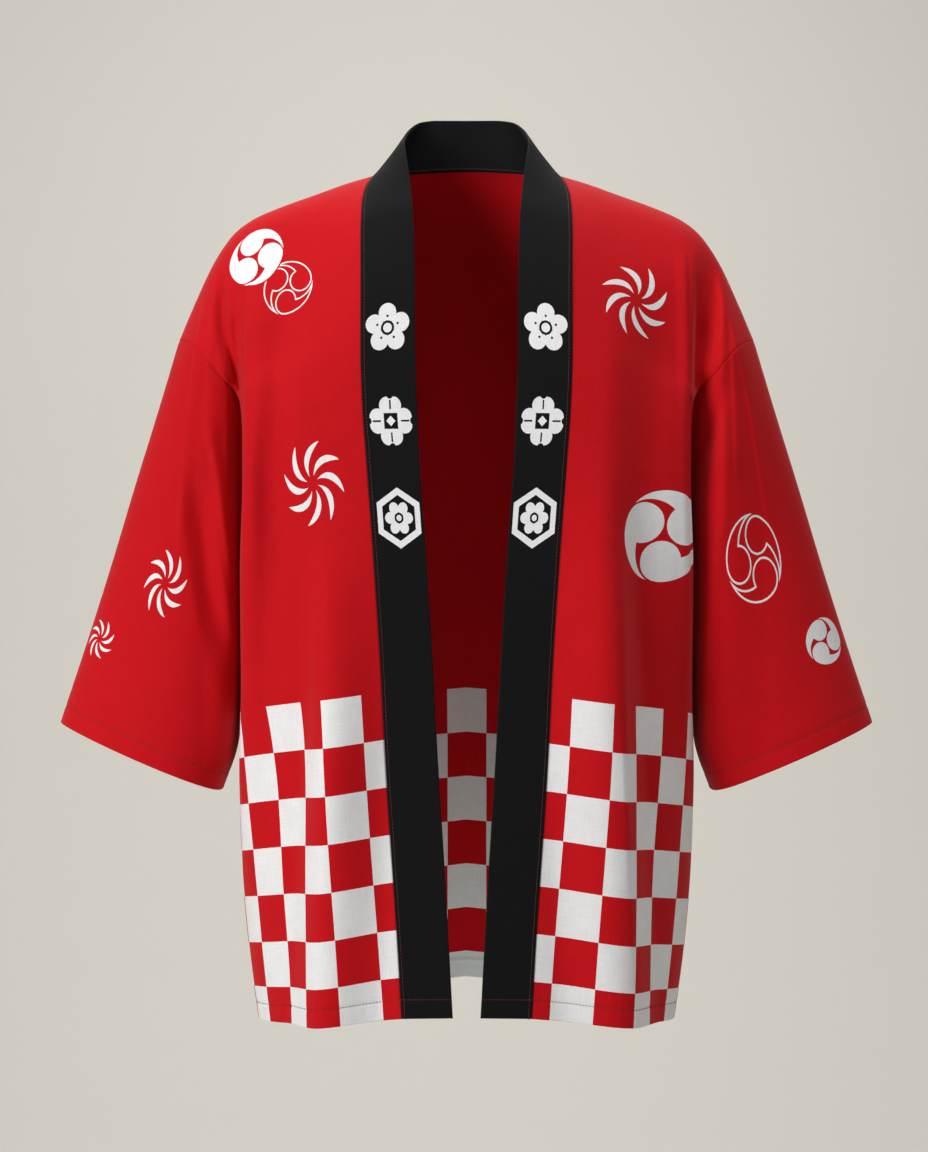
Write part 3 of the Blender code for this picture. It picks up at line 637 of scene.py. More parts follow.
# A check of white cells: where its first column line meets the hem, how that leans, the level of its lowest
# row line, how that tilts, and a cell's height
Check = namedtuple("Check", "first lean low tilt tall")
CELL = 0.0402  # a cell's width
CELL_ROWS = 6  # rows of cells from the hem up
FUZZ = 0.00048  # the width over which the print's edge is uneven
FUZZ_GRAIN = 0.0015  # and the size of its unevenness
BOTH_FACES = (1.0, 1.0, 0.002)  # brings the cloth's two faces close together in that grain
THREAD = 0.00046  # how far apart the threads are
SLUB = 0.0009  # how thick the threads' uneven stretches are
SLUB_SHAPE = 0.05  # and that as a share of their length
PATCH = 0.03  # the size of the patches where the dye is uneven
PLAIN_TONE, SLUB_TONE, PATCH_TONE = 0.80, 0.20, 0.10  # the cloth's lightness, and how much each changes it
SEAM_SHADE = 0.35  # the lightness left in the painted shade beside the collar's lapped edge, which stands for the band's shadow
SEAM_SHADE_END = 0.0014  # and over what width that painted shade fades out
THREAD_RISE, SLUB_RISE = 0.5, 0.9  # the heights of threads and slubs, as shares of the weave's
WEAVE = (0.35, 0.00012)  # how strongly the weave's bumps show, and their height
CREASE = 0.022  # the size of the finest creases
CREASES = (0.3, 0.0012)  # how strongly they show, and their height
COTTON_ROUGHNESS, NAP_ROUGHNESS = 0.82, 0.4
PRINT_RED = (0.56, 0.0038, 0.0085, 1.0)
RED_NAP = (1.0, 0.6, 0.6, 1.0)
PRINT_WHITE = (0.85, 0.85, 0.86, 1.0)
# The white as seen on the inner face: the same print, but painted a little darker and blue-green to cancel
# the red light bounced round inside the coat
PRINT_REVERSE_BOUNCE_TINTED = (0.82, 0.96, 0.98, 1.0)


def new_material(name):
    """A material and its main shader."""
    material = bpy.data.materials.new(name)
    material.use_nodes = True
    return material, material.node_tree.nodes["Principled BSDF"]


def cotton(name, figures, way, nap, dye=PRINT_RED, nap_tint=RED_NAP, check=None, gloss=0.12, seam=0.0):
    """Plain-woven cotton, dyed and printed in white, in the fabric's own coordinates.

    nap is how much of the light its fine hairs catch. seam is how far across the painted shade of a lapped
    seam lies.
    """
    material, shader = new_material(name)
    tree = material.node_tree
    place = Wire(tree, None).node("ShaderNodeAttribute", {"attribute_name": "fabric"}, None, 1)
    across, up, inner = place.split()
    shift_x, shift_y = place.times(BOTH_FACES).noise(FUZZ_GRAIN, 1.0, 1).split()[:2]
    print_x, print_y = across + (shift_x - 0.5) * FUZZ, up + (shift_y - 0.5) * FUZZ
    white = printed(print_x, print_y, figures, way)
    if check:
        column = (print_x - check.first - up * check.lean) / CELL
        row = (print_y - check.low - across * check.tilt) / check.tall
        even = (column.floor() + row.floor()).wrap(2.0)
        white = ((even > 0.5) * (row < CELL_ROWS)).most(white)
    slub = place.times((1.0, SLUB_SHAPE, 0.0)).noise(SLUB) + place.times((SLUB_SHAPE, 1.0, 0.0)).noise(SLUB)
    tone = PLAIN_TONE + SLUB_TONE * slub + PATCH_TONE * (place.noise(PATCH, 3.0) - 0.5)
    # Painted shade: the colour darkens towards the collar's lapped edge, standing for the shadow that the
    # raised band casts
    if seam:
        tone = tone * (SEAM_SHADE + (1.0 - SEAM_SHADE) * across.ramp(seam, seam + SEAM_SHADE_END))
    # On the inner face the white takes that painted correction for the red bounce light
    colour = white.blend(dye, inner.blend(PRINT_WHITE, PRINT_REVERSE_BOUNCE_TINTED))
    colour = place.node("ShaderNodeVectorMath", {"operation": "SCALE"}, {0: colour, "Scale": tone})
    tree.links.new(colour.socket, shader.inputs["Base Color"])
    warp, weft = across * (2 * math.pi / THREAD), up * (2 * math.pi / THREAD)
    threads = warp.sine() * weft.sine()
    weave = (threads * THREAD_RISE + slub * SLUB_RISE).bump(*WEAVE)
    tree.links.new(place.noise(CREASE).bump(*CREASES, weave).socket, shader.inputs["Normal"])
    shader.inputs["Roughness"].default_value = COTTON_ROUGHNESS
    shader.inputs["Specular IOR Level"].default_value = gloss
    shader.inputs["Sheen Weight"].default_value = nap
    shader.inputs["Sheen Roughness"].default_value = NAP_ROUGHNESS
    shader.inputs["Sheen Tint"].default_value = nap_tint
    return material


CHECKS = {-1: Check(0.0194, 0.0100, 0.0375, -0.016, 0.0434), 1: Check(0.0192, 0.0102, 0.0340, -0.010, 0.0434)}
FRONT_FIGURES = {
    -1: (
        Figure("pinwheel", 0.0534, 0.4952, 0.0298, 0.0405, -15, -1, 0),
        Figure("tomoe", 0.0773, 0.6939, 0.0250, 0.0278, 16, 1, 0.052),
        Figure("tomoe", 0.1078, 0.7395, 0.0285, 0.0326, 105, -1, 0),
    ),
    1: (
        Figure("pinwheel", 0.0688, 0.6765, 0.0357, 0.0377, 29, 1, 0),
        Figure("tomoe", 0.1151, 0.4516, 0.0488, 0.0430, 34, 1, 0),
    ),
}
COLLAR_SHADE = 0.0023  # how far across a front the painted shade beside the collar starts to fade
for side, name in ((-1, "right"), (1, "left")):
    front = add_front(side, "front_" + name + "_cotton")
    check, figures = CHECKS[side], FRONT_FIGURES[side]
    dyed = cotton("front_" + name + "_print", figures, side, nap=0.12, check=check, seam=COLLAR_SHADE)
    front.data.materials.append(dyed)
    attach(front, "root")
    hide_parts("front_" + name)


# ---- Back ----
# One panel of the same printed cotton from side to side, its middle on the fold of the fabric. It is sewn to
# both fronts at the shoulders and down the sides, and its neckline is enclosed in the collar band.

# The back's sections, from the neckline and shoulder seams down to the hem. neck is how much of the
# neckline's curve is left in the section.
Back = namedtuple("Back", "v mid_y mid_z neck wide_x wide_y power ring side_x side_y side_z")
BACK = (
    Back(0.000, 0.068, 0.016, 1.00, 0.2760, 0.000, 2.6, 0.0, 0.2760, 0.000, -0.1560),
    Back(0.035, 0.075, 0.008, 0.84, 0.2730, 0.022, 2.6, 0.0, 0.2730, 0.022, -0.1565),
    Back(0.070, 0.082, -0.003, 0.68, 0.2670, 0.040, 2.6, 0.0, 0.2670, 0.040, -0.1590),
    Back(0.120, 0.092, -0.022, 0.46, 0.2575, 0.058, 2.6, 0.0, 0.2575, 0.058, -0.1660),
    Back(0.170, 0.102, -0.050, 0.27, 0.2460, 0.071, 2.6, 0.1, 0.2460, 0.071, -0.1790),
    Back(0.220, 0.111, -0.085, 0.13, 0.2335, 0.078, 2.6, 0.3, 0.2335, 0.078, -0.1930),
    Back(0.270, 0.117, -0.125, 0.05, 0.2215, 0.080, 2.6, 0.6, 0.2205, 0.076, -0.2080),
    Back(0.320, 0.121, -0.170, 0.01, 0.2125, 0.084, 2.7, 0.9, 0.2090, 0.060, -0.2340),
    Back(0.370, 0.123, -0.222, 0.00, 0.2100, 0.085, 2.8, 1.0, 0.2045, 0.037, -0.2660),
    Back(0.420, 0.124, -0.275, 0.00, 0.2090, 0.083, 2.8, 1.0, 0.2030, 0.012, -0.3000),
    Back(0.500, 0.123, -0.362, 0.00, 0.2090, 0.076, 2.6, 1.0, 0.2030, 0.013, -0.3850),
    Back(0.600, 0.124, -0.464, 0.00, 0.2110, 0.062, 2.3, 1.0, 0.2045, 0.012, -0.4850),
    Back(0.700, 0.128, -0.555, 0.00, 0.2150, 0.045, 2.1, 1.0, 0.2110, 0.010, -0.5750),
    Back(0.800, 0.133, -0.634, 0.00, 0.2135, 0.036, 2.0, 1.0, 0.2120, 0.008, -0.6550),
    Back(0.900, 0.138, -0.709, 0.00, 0.2078, 0.030, 2.0, 1.0, 0.2065, 0.006, -0.7320),
    Back(1.000, 0.143, -0.784, 0.00, 0.1985, 0.026, 2.0, 1.0, 0.1975, 0.004, -0.8035),
)
BACK_FOLDS = {
    -1: (
        Fold(-0.20, -0.50, -0.95, -1.00, 0.112, 0.120, 0.128, 0.046, 0.034, 0.011),
        Fold(-0.12, -0.22, -0.32, -0.46, 0.168, 0.176, 0.170, 0.026, 0.024, -0.007),
        Fold(-0.09, -0.19, -0.21, -0.30, 0.232, 0.224, 0.210, 0.022, 0.024, -0.013),
        Fold(-0.34, -0.56, -0.95, -1.00, 0.030, 0.026, 0.034, 0.030, 0.036, -0.007),
        Fold(-0.10, -0.18, -0.36, -0.52, 0.204, 0.2065, 0.2080, 0.034, 0.004, 0.0050),
        Fold(-0.12, -0.18, -0.28, -0.36, 0.246, 0.2620, 0.2720, 0.013, 0.003, 0.0020),
    ),
    1: (
        Fold(-0.24, -0.54, -0.95, -1.00, 0.098, 0.106, 0.118, 0.040, 0.040, 0.012),
        Fold(-0.10, -0.22, -0.32, -0.42, 0.164, 0.170, 0.166, 0.028, 0.026, -0.006),
        Fold(-0.08, -0.18, -0.21, -0.30, 0.230, 0.222, 0.210, 0.022, 0.024, -0.013),
        Fold(-0.46, -0.64, -0.95, -1.00, 0.160, 0.162, 0.164, 0.026, 0.020, 0.007),
        Fold(-0.08, -0.14, -0.38, -0.54, 0.205, 0.2075, 0.2085, 0.024, 0.004, 0.0040),
        Fold(-0.11, -0.16, -0.28, -0.36, 0.242, 0.2640, 0.2800, 0.004, 0.013, 0.0017),
    ),
}
BACK_COLUMNS = 88  # on each half


def add_back(name):
    places = panel_places()
    halves = []
    for side in (-1, 1):
        half = []
        for v in places:
            line = panel_row(BACK, side, v)
            half.append(divide(line, spread(lengths_of(line)[-1], BACK_COLUMNS, first=(0.0,))))
        halves.append(np.array(half))
    grid = np.concatenate((halves[0][:, :0:-1], halves[1]), axis=1)
    middle = halves[0].shape[1] - 1
    across, up = fabric_places(grid, middle, int(np.searchsorted(places, LEVEL)))
    run, whole = gone(grid, 1)
    down = gone(grid, 0)[0]
    seam = np.abs(grid[:1, :, :1])
    in_top = ridge_way(np.sign(grid[0, :, 0]), np.abs(grid[0, :, 0]))
    in_left = side_way(1, grid[:, -1], places)
    in_right = side_way(-1, grid[:, 0], places)
    near = smooth((RIDGE[-1].x - seam) / SEAM_FADE) * smooth((seam - NECK_HALF) / SEAM_FADE)
    pull, wall = hem_shape(across, up, HEM, HEM_STITCH)
    outward = normals_of(grid)
    outer = grid + roll_in(whole - run, in_left[:, None]) + roll_in(run, in_right[:, None])
    outer = outer + roll_in(down, in_top[None]) * near - outward * pull[..., None]
    outward[0] = np.where(seam[0] > NECK_HALF, -in_top, outward[0])
    outward[:, 0] = -in_right
    outward[:, -1] = -in_left
    return add_sheet(name, outer, outward, wall, across, up)


BACK_CHECK = Check(-0.0201, 0.0, 0.0262, 0.0, 0.0443)
BACK_FIGURES = (
    Figure("tomoe", -0.135, 0.655, 0.043, 0.043, 20, 1, 0),
    Figure("tomoe", -0.205, 0.600, 0.027, 0.027, 50, -1, 0.10),
    Figure("pinwheel", 0.150, 0.640, 0.036, 0.036, 10, 1, 0),
    Figure("pinwheel", -0.120, 0.420, 0.040, 0.040, 30, -1, 0),
    Figure("tomoe", 0.135, 0.425, 0.030, 0.030, 80, 1, 0),
)
back = add_back("back_cotton")
back.data.materials.append(cotton("back_print", BACK_FIGURES, -1, nap=0.10, check=BACK_CHECK))
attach(back, "root")
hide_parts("back")


# ---- Sleeves ----
# Two wide, slightly tapered tubes of the same cotton, each a single piece seamed under the arm. The dropped
# sleeve seam joins them to the body panels, and their cuffs are turned in once and stitched.

# A sleeve's stations, from its seam to the cuff. top is the line over the arm and under the line below it;
# front and back are how far the tube swells each way between them.
Sleeve = namedtuple("Sleeve", "t top_x top_y top_z under_x under_y under_z front back")
SLEEVE = (
    Sleeve(0.00, 0.2760, 0.000, -0.1560, 0.2030, 0.012, -0.3000, 0.072, 0.078),
    Sleeve(0.16, 0.2942, 0.000, -0.2170, 0.2092, 0.012, -0.3560, 0.070, 0.076),
    Sleeve(0.36, 0.3178, 0.001, -0.2938, 0.2112, 0.010, -0.4180, 0.070, 0.076),
    Sleeve(0.57, 0.3408, 0.001, -0.3706, 0.2135, 0.008, -0.4760, 0.071, 0.076),
    Sleeve(0.78, 0.3640, 0.001, -0.4440, 0.2195, 0.004, -0.5400, 0.072, 0.075),
    Sleeve(1.00, 0.3895, 0.001, -0.5210, 0.2342, 0.002, -0.5855, 0.074, 0.075),
)
SLEEVE_BLEND = 0.45  # the share of the way down a sleeve over which its seam's shape fades
SWELL = 0.78  # under 1, how flat a sleeve's sides are
SWELL_LOW = 1.3  # over 1, how much nearer the under line they swell
SLEEVE_LENGTH = 0.38  # down its top line
SLEEVE_ROWS = 130
SLEEVE_AROUND = 104  # points half-way round
CUFF = 0.0190  # how far in the cuff is turned
CUFF_STITCH = 0.0175


def tube(side, row, q):
    """Points round a sleeve's plain tube. q is 0 over the arm and -1 or 1 below it, by the front or back."""
    down = (1.0 - np.cos(math.pi * q)) / 2.0
    swell = np.maximum(np.sin(math.pi * np.abs(q) ** SWELL_LOW), 0.0) ** SWELL
    x = side * mix(row.top_x, row.under_x, down)
    y = mix(row.top_y, row.under_y, down) + np.where(q > 0, row.back, -row.front) * swell
    return np.stack((x, y, mix(row.top_z, row.under_z, down)), axis=1)


def seam_line(side, q):
    """Points on the sleeve seam as the two panels have it, without their folds, and the panels' sections."""
    rows = [section(BACK if at > 0 else FRONT, abs(at) * ARMPIT) for at in q]
    return np.array([(side * row.side_x, row.side_y, row.side_z) for row in rows]), rows


def sleeve_row(side, t, q, plain_seam, room_seam):
    """A ring of points round a sleeve, t of the way from its seam to the cuff."""
    ring = tube(side, section(SLEEVE, t), q)
    ring += (plain_seam - tube(side, SLEEVE[0], q)) * (1.0 - smooth(t / SLEEVE_BLEND))
    room = mix(room_seam, np.abs(np.sin(math.pi * q)) ** 0.5, smooth(t / FOLD_TOP))
    x, z = np.abs(ring[:, 0]), ring[:, 2]
    lift = np.where(q > 0, fold_lift(BACK_FOLDS[side], x, z), -fold_lift(FRONT_FOLDS[side], x, z))
    ring[:, 1] += lift * room
    return ring


def add_sleeve(side, name):
    half = arm_places(SLEEVE_AROUND)
    q = np.concatenate((-half[::-1], half[1:]))
    near = np.array(NEAR[1:]) / SLEEVE_LENGTH
    cuff = hem_places(SLEEVE_LENGTH, CUFF, CUFF_STITCH) / SLEEVE_LENGTH
    places = np.concatenate(([0.0], near, np.linspace(near[-1], cuff[0], SLEEVE_ROWS)[1:-1], cuff))
    plain_seam, rows = seam_line(side, q)
    room = np.array([float(fold_room(row.v, row.side_x, row.wide_x, row.side_x)) for row in rows])
    grid = np.array([sleeve_row(side, t, q, plain_seam, room) for t in places])
    across, up = fabric_places(grid, len(half) - 1, len(places))
    down = gone(grid, 0)[0]
    arm = unit(np.array(ARMHOLE) * (side, 1, 1) - grid[0])
    pull, wall = hem_shape(across, up, CUFF, CUFF_STITCH)
    outward = normals_of(grid)
    over_arm = outward[len(grid) // 2, len(half) - 1]
    outward = outward * np.sign(np.dot(over_arm, (side, 0, 1)))
    outer = grid + roll_in(down, arm[None]) - outward * pull[..., None]
    outward[0] = -arm
    return add_sheet(name, outer, outward, wall, across, up)


SLEEVE_FIGURES = {
    -1: (
        Figure("pinwheel", -0.0930, 0.1652, 0.0235, 0.0325, 22, 1, 0),
        Figure("pinwheel", -0.0345, 0.0902, 0.0215, 0.0190, 30, 1, 0),
        Figure("tomoe", 0.1100, 0.2000, 0.0330, 0.0330, 10, 1, 0),
        Figure("pinwheel", 0.0700, 0.1000, 0.0220, 0.0220, 0, -1, 0),
    ),
    1: (
        Figure("tomoe", -0.1022, 0.1930, 0.0318, 0.0420, 58, -1, 0.050),
        Figure("tomoe", -0.0475, 0.0921, 0.0245, 0.0220, 105, 1, 0),
        Figure("pinwheel", 0.1100, 0.1900, 0.0300, 0.0300, 15, 1, 0),
        Figure("tomoe", 0.0650, 0.1000, 0.0220, 0.0220, 40, -1, 0),
    ),
}
for side, name in ((-1, "right"), (1, "left")):
    sleeve = add_sleeve(side, "sleeve_" + name + "_cotton")
    sleeve.data.materials.append(cotton("sleeve_" + name + "_print", SLEEVE_FIGURES[side], side, nap=0.12))
    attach(sleeve, "root")
    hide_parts("sleeve_" + name)


# ---- Collar ----
# A long strip of black cotton folded in half lengthwise, its raw edges turned in. It encloses the neckline
# and the fronts' inner edges, and is topstitched close to its seam edge, all the way down to both hems.

# The collar band's folded edge, from the centre of the neck to the hem. s is the share of the way along the
# seam: under 0 on the neckline, over 0 down the front.
Collar = namedtuple("Collar", "s free_x free_y free_z")
COLLAR = (
    Collar(-1.00, 0.0000, 0.073, 0.0668),
    Collar(-0.66, 0.0290, 0.070, 0.0664),
    Collar(-0.42, 0.0445, 0.060, 0.0635),
    Collar(-0.22, 0.0545, 0.040, 0.0540),
    Collar(-0.10, 0.0585, 0.020, 0.0450),
    Collar(0.000, 0.0600, 0.002, 0.0360),
    Collar(0.035, 0.0585, -0.012, 0.0260),
    Collar(0.070, 0.0562, -0.028, 0.0120),
    Collar(0.120, 0.0530, -0.052, -0.0120),
    Collar(0.170, 0.0502, -0.078, -0.0400),
    Collar(0.220, 0.0483, -0.099, -0.0800),
    Collar(0.270, 0.0475, -0.114, -0.1240),
    Collar(0.320, 0.0472, -0.125, -0.1720),
    Collar(0.370, 0.0455, -0.132, -0.2240),
    Collar(0.420, 0.0432, -0.137, -0.2750),
    Collar(0.500, 0.0370, -0.142, -0.3600),
    Collar(0.600, 0.0308, -0.146, -0.4600),
    Collar(0.700, 0.0261, -0.149, -0.5500),
    Collar(0.800, 0.0211, -0.152, -0.6300),
    Collar(0.900, 0.0167, -0.154, -0.7070),
    Collar(1.000, 0.0126, -0.156, -0.7830),
)
BAND_WALL = 0.0026  # two layers of cotton with the seam allowance between them
BAND_LAP = 0.0022  # how far it covers the edge of the fronts
NECK_LAP = 0.2  # the share of that lap on the neckline, which the band encloses
LAP_GROWS = 0.3  # over how much of the neckline, up to the fronts, the lap grows to the whole
BAND_ROUND = (0.0, 0.0001, 0.0003, 0.0007, 0.0013)  # places on its rounded edges
BAND_COLUMNS = 44
NECK_STATIONS = 60  # from the centre of the neck to a shoulder seam


def collar_line(side, s):
    """The band's two edges at a place: on the seam, and at the fold."""
    edge = section(COLLAR, s)
    if s < 0:
        x = NECK_HALF * math.cos(math.pi / 2 * -s)
        seam = (side * x, NECK_BACK * neck_curve(x, NECK_ROUND), RIDGE[0].z + NECK_RISE * neck_curve(x, 1.0))
    else:
        row = section(FRONT, s)
        lift = fold_lift(FRONT_FOLDS[side], row.edge_x, row.edge_z)
        lift = lift * fold_room(s, row.side_x, row.wide_x, row.edge_x)
        seam = (side * row.edge_x, row.edge_y - lift, row.edge_z)
    return np.array(seam), np.array((side * edge.free_x, edge.free_y, edge.free_z))


def add_collar(name):
    neck = np.linspace(-1.0, 0.0, NECK_STATIONS)[:-1]
    down = panel_places()
    stations = [(-1, s) for s in np.concatenate((neck[1:], down))[::-1]]
    stations += [(1, s) for s in np.concatenate((neck, down))]
    grid = []
    for side, s in stations:
        seam, free = collar_line(side, s)
        lap = BAND_LAP * mix(NECK_LAP, 1.0, smooth((s + LAP_GROWS) / LAP_GROWS))
        line = np.stack((seam + unit(seam - free) * lap, free))
        grid.append(divide(line, spread(lengths_of(line)[-1], BAND_COLUMNS, BAND_ROUND, BAND_ROUND)))
    grid = np.array(grid)
    normal = normals_of(grid)
    normal = normal * -np.sign(normal[-1, BAND_COLUMNS // 2, 1])
    run, whole = gone(grid, 1)
    along, length = gone(grid, 0)
    end = np.minimum(along, length - along)
    edge = np.minimum(np.minimum(run, whole - run), end)
    bend = np.sqrt(1.0 - np.maximum(1.0 - edge / BAND_ROUND[-1], 0.0) ** 2)
    wall = BAND_WALL * np.maximum(bend, THIN)
    outer = grid - normal * CLOTH / 2 + normal * wall[..., None] / 2
    level = np.repeat((along - length / 2)[:, [BAND_COLUMNS // 2]], grid.shape[1], axis=1)
    return add_sheet(name, outer, normal, wall, run, level)


def fold_round(x, y, petals):
    """A place's distance out, and its place in the sector of the nearest petal."""
    out = x.length(y)
    turn = x.angle(y).wrap(math.pi / petals, -math.pi / petals)
    return out, out * turn.cosine(), out * turn.sine()


def round_at(x, y, out, radius):
    """Above 0 outside a disc this far out. This and the flowers' numbers are shares of a flower's radius."""
    return (x - out).length(y) - radius


def plum(x, y):
    """Five round petals about a ring and a disc."""
    out, x, y = fold_round(x, y, 5)
    petal, stamen = round_at(x, y, 0.60, 0.385), round_at(x, y, 0.47, 0.05)
    ring, disc = 0.29, 0.19
    return petal.most(ring - out).most(-stamen).least(out - disc)


def shell(x, y):
    """A six-petalled flower in a broad hexagon."""
    out, x, y = fold_round(x, y, 6)
    frame_inside, frame_outside, ring, disc, narrow = 0.70, 0.93, 0.19, 0.11, 1.1
    frame = (x - frame_outside).most(frame_inside - x)
    petal = round_at(x, y * narrow, 0.38, 0.225)
    return frame.least(petal.most(ring - out)).least(out - disc)


def diamond(x, y):
    """Four broad notched petals about a small diamond."""
    x, y = fold_round(x, y, 4)[1:]
    side = abs(y)
    petal, notch = round_at(x, side - 0.14, 0.58, 0.34), round_at(x, side, 0.98, 0.14)
    petal_start, vein_start, vein_end, vein_half, middle = 0.30, 0.44, 0.80, 0.035, 0.20
    vein = (side - vein_half).most(vein_start - x).most(x - vein_end)
    return petal.most(petal_start - x).most(-vein).most(-notch).least(x + side - middle)


SHAPES.update({"plum": plum, "shell": shell, "diamond": diamond})
COLLAR_BLACK = (0.0062, 0.0062, 0.0067, 1.0)
BLACK_NAP = (1.0, 1.0, 1.0, 1.0)
# The same three flowers on both sides of the collar. The fabric runs upside down on the wearer's left.
COLLAR_FIGURES = tuple(
    Figure(kind, across, side * along, 0.0210, tall, turn + 90 * (side + 1), 1, 0)
    for side in (-1, 1)
    for kind, across, along, tall, turn in (
        ("plum", 0.0247, 0.3360, 0.0240, 90),
        ("diamond", 0.0252, 0.4228, 0.0245, 0),
        ("shell", 0.0260, 0.5122, 0.0262, 0),
    )
)
collar = add_collar("collar_band")
dyed = cotton("collar_print", COLLAR_FIGURES, 1, nap=0.05, dye=COLLAR_BLACK, nap_tint=BLACK_NAP, gloss=0.10)
collar.data.materials.append(dyed)
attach(collar, "root")
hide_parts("collar")


# ---- Stitching ----
# Single rows of dark red machine stitches: round both cuffs, along the three hems, and close to the collar
# band's seam edge through all its layers, with one short row across each of its ends.
STITCH = 0.0026  # the length of a stitch
STITCH_STEP = 0.0031  # and how far apart they start
THREAD_HALF = 0.00028  # half the thread's thickness
PROUD = THREAD_HALF / 2  # how far the thread's middle stands out of the cloth
THREAD_AROUND, THREAD_RINGS = 8, 5  # the faces round a stitch, and from its one end to the other
BAND_STITCH = 0.0031  # how far inside the band's seam edge its stitches run


def level_line(name, height):
    """The points of a sheet's outer face at a height up its fabric, one in each column."""
    sheet = SHEETS[name]
    face = sheet.outer + sheet.outward * PROUD
    found = []
    for j in range(face.shape[1]):
        found.append([np.interp(height, sheet.up[::-1, j], face[::-1, j, k]) for k in range(3)])
    return np.array(found)


def band_line(inner):
    """Points along the band's outer or inner face, inside its seam edge, between its two ends."""
    band = SHEETS["collar_band"]
    out = -band.wall[..., None] - PROUD if inner else PROUD
    face = band.outer + band.outward * out
    found = []
    for i in range(1, len(face) - 1):
        found.append([np.interp(BAND_STITCH, band.across[i], face[i, :, k]) for k in range(3)])
    return np.array(found)


def band_end_line(end):
    """Points across the band's outer face by one of its ends, between its rounded edges."""
    band = SHEETS["collar_band"]
    up = band.up[:, 0]
    row = int(np.argmin(np.abs(up - end * (up[-1] - HEM_STITCH))))
    flat = slice(len(BAND_ROUND) - 1, 2 - len(BAND_ROUND))
    return band.outer[row, flat] + band.outward[row, flat] * PROUD


def stitch_tree(step, size, thread):
    """Geometry nodes that lay stitches along a mesh's edges, and the values of their inputs' identifiers."""
    tree = bpy.data.node_groups.new("stitches", "GeometryNodeTree")
    sockets = tree.interface
    sockets.new_socket("Lines", in_out="INPUT", socket_type="NodeSocketGeometry")
    values = {}
    inputs = (("Step", "Float", step), ("Size", "Vector", size), ("Thread", "Material", thread))
    for name, kind, value in inputs:
        socket = sockets.new_socket(name, in_out="INPUT", socket_type="NodeSocket" + kind)
        values[socket.identifier] = value
    sockets.new_socket("Stitches", in_out="OUTPUT", socket_type="NodeSocketGeometry")
    start = tree.nodes.new("NodeGroupInput")
    lines = Wire(tree, start.outputs["Lines"])
    curves = lines.node("GeometryNodeMeshToCurve", None, {"Mesh": lines})
    inputs = {"Curve": curves, "Length": Wire(tree, start.outputs["Step"])}
    points = lines.node("GeometryNodeResampleCurve", {"mode": "LENGTH"}, inputs)
    tangent = lines.node("GeometryNodeInputTangent")
    inputs = {"Segments": THREAD_AROUND, "Rings": THREAD_RINGS, "Radius": 1.0}
    stitch = lines.node("GeometryNodeMeshUVSphere", None, inputs)
    inputs = {"Geometry": stitch, "Scale": Wire(tree, start.outputs["Size"])}
    stitch = lines.node("GeometryNodeTransform", None, inputs)
    turn = lines.node("FunctionNodeAlignRotationToVector", {"axis": "X"}, {"Vector": tangent})
    inputs = {"Points": points, "Instance": stitch, "Rotation": turn}
    laid = lines.node("GeometryNodeInstanceOnPoints", None, inputs)
    laid = lines.node("GeometryNodeRealizeInstances", None, {"Geometry": laid})
    inputs = {"Geometry": laid, "Material": Wire(tree, start.outputs["Thread"])}
    laid = lines.node("GeometryNodeSetMaterial", None, inputs)
    end = tree.nodes.new("NodeGroupOutput")
    tree.links.new(laid.socket, end.inputs["Stitches"])
    return tree, values


def add_stitches(name, lines, tree, values):
    """Rows of stitches along polylines, as one mesh."""
    edges = []
    first = 0
    for line in lines:
        edges += [(first + i, first + i + 1) for i in range(len(line) - 1)]
        first += len(line)
    mesh = bpy.data.meshes.new(name + "_lines")
    mesh.from_pydata(np.concatenate(lines).tolist(), edges, [])
    guide = add_object(name + "_lines", mesh)
    modifier = guide.modifiers.new("stitches", "NODES")
    modifier.node_group = tree
    for identifier, value in values.items():
        modifier[identifier] = value
    evaluated = guide.evaluated_get(bpy.context.evaluated_depsgraph_get())
    laid = bpy.data.meshes.new_from_object(evaluated)
    guide.modifiers.remove(modifier)
    bpy.data.objects.remove(guide)
    laid.name = name
    laid.shade_smooth()
    return add_object(name, laid)


THREAD_DARK, THREAD_LIGHT = (0.085, 0.012, 0.012, 1.0), (0.16, 0.03, 0.03, 1.0)
TWIST = 0.0012  # the size of the thread's twist
TWIST_BUMP = (0.4, 0.0001)  # how strongly it shows, and its height
THREAD_ROUGHNESS = 0.55


def polyester_thread(name):
    """Dark red, twisted and a little glossy."""
    material, shader = new_material(name)
    tree = material.node_tree
    place = Wire(tree, None).node("ShaderNodeTexCoord", None, None, "Object")
    twist = place.noise(TWIST, 1.0)
    colour = twist.ramp(0.3, 0.7).blend(THREAD_DARK, THREAD_LIGHT)
    tree.links.new(colour.socket, shader.inputs["Base Color"])
    tree.links.new(twist.bump(*TWIST_BUMP).socket, shader.inputs["Normal"])
    shader.inputs["Roughness"].default_value = THREAD_ROUGHNESS
    return material


PANELS = ("front_right_cotton", "front_left_cotton", "back_cotton")
SLEEVES = ("sleeve_right_cotton", "sleeve_left_cotton")
ROWS = {
    "hem_stitches": [level_line(name, HEM_STITCH) for name in PANELS],
    "cuff_stitches": [level_line(name, CUFF_STITCH) for name in SLEEVES],
    "band_stitches": [band_line(False), band_line(True), band_end_line(-1), band_end_line(1)],
}
size = (STITCH / 2, THREAD_HALF, THREAD_HALF)
tree, values = stitch_tree(STITCH_STEP, size, polyester_thread("thread"))
for name, lines in ROWS.items():
    stitches = add_stitches(name, lines, tree, values)
    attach(stitches, "root")


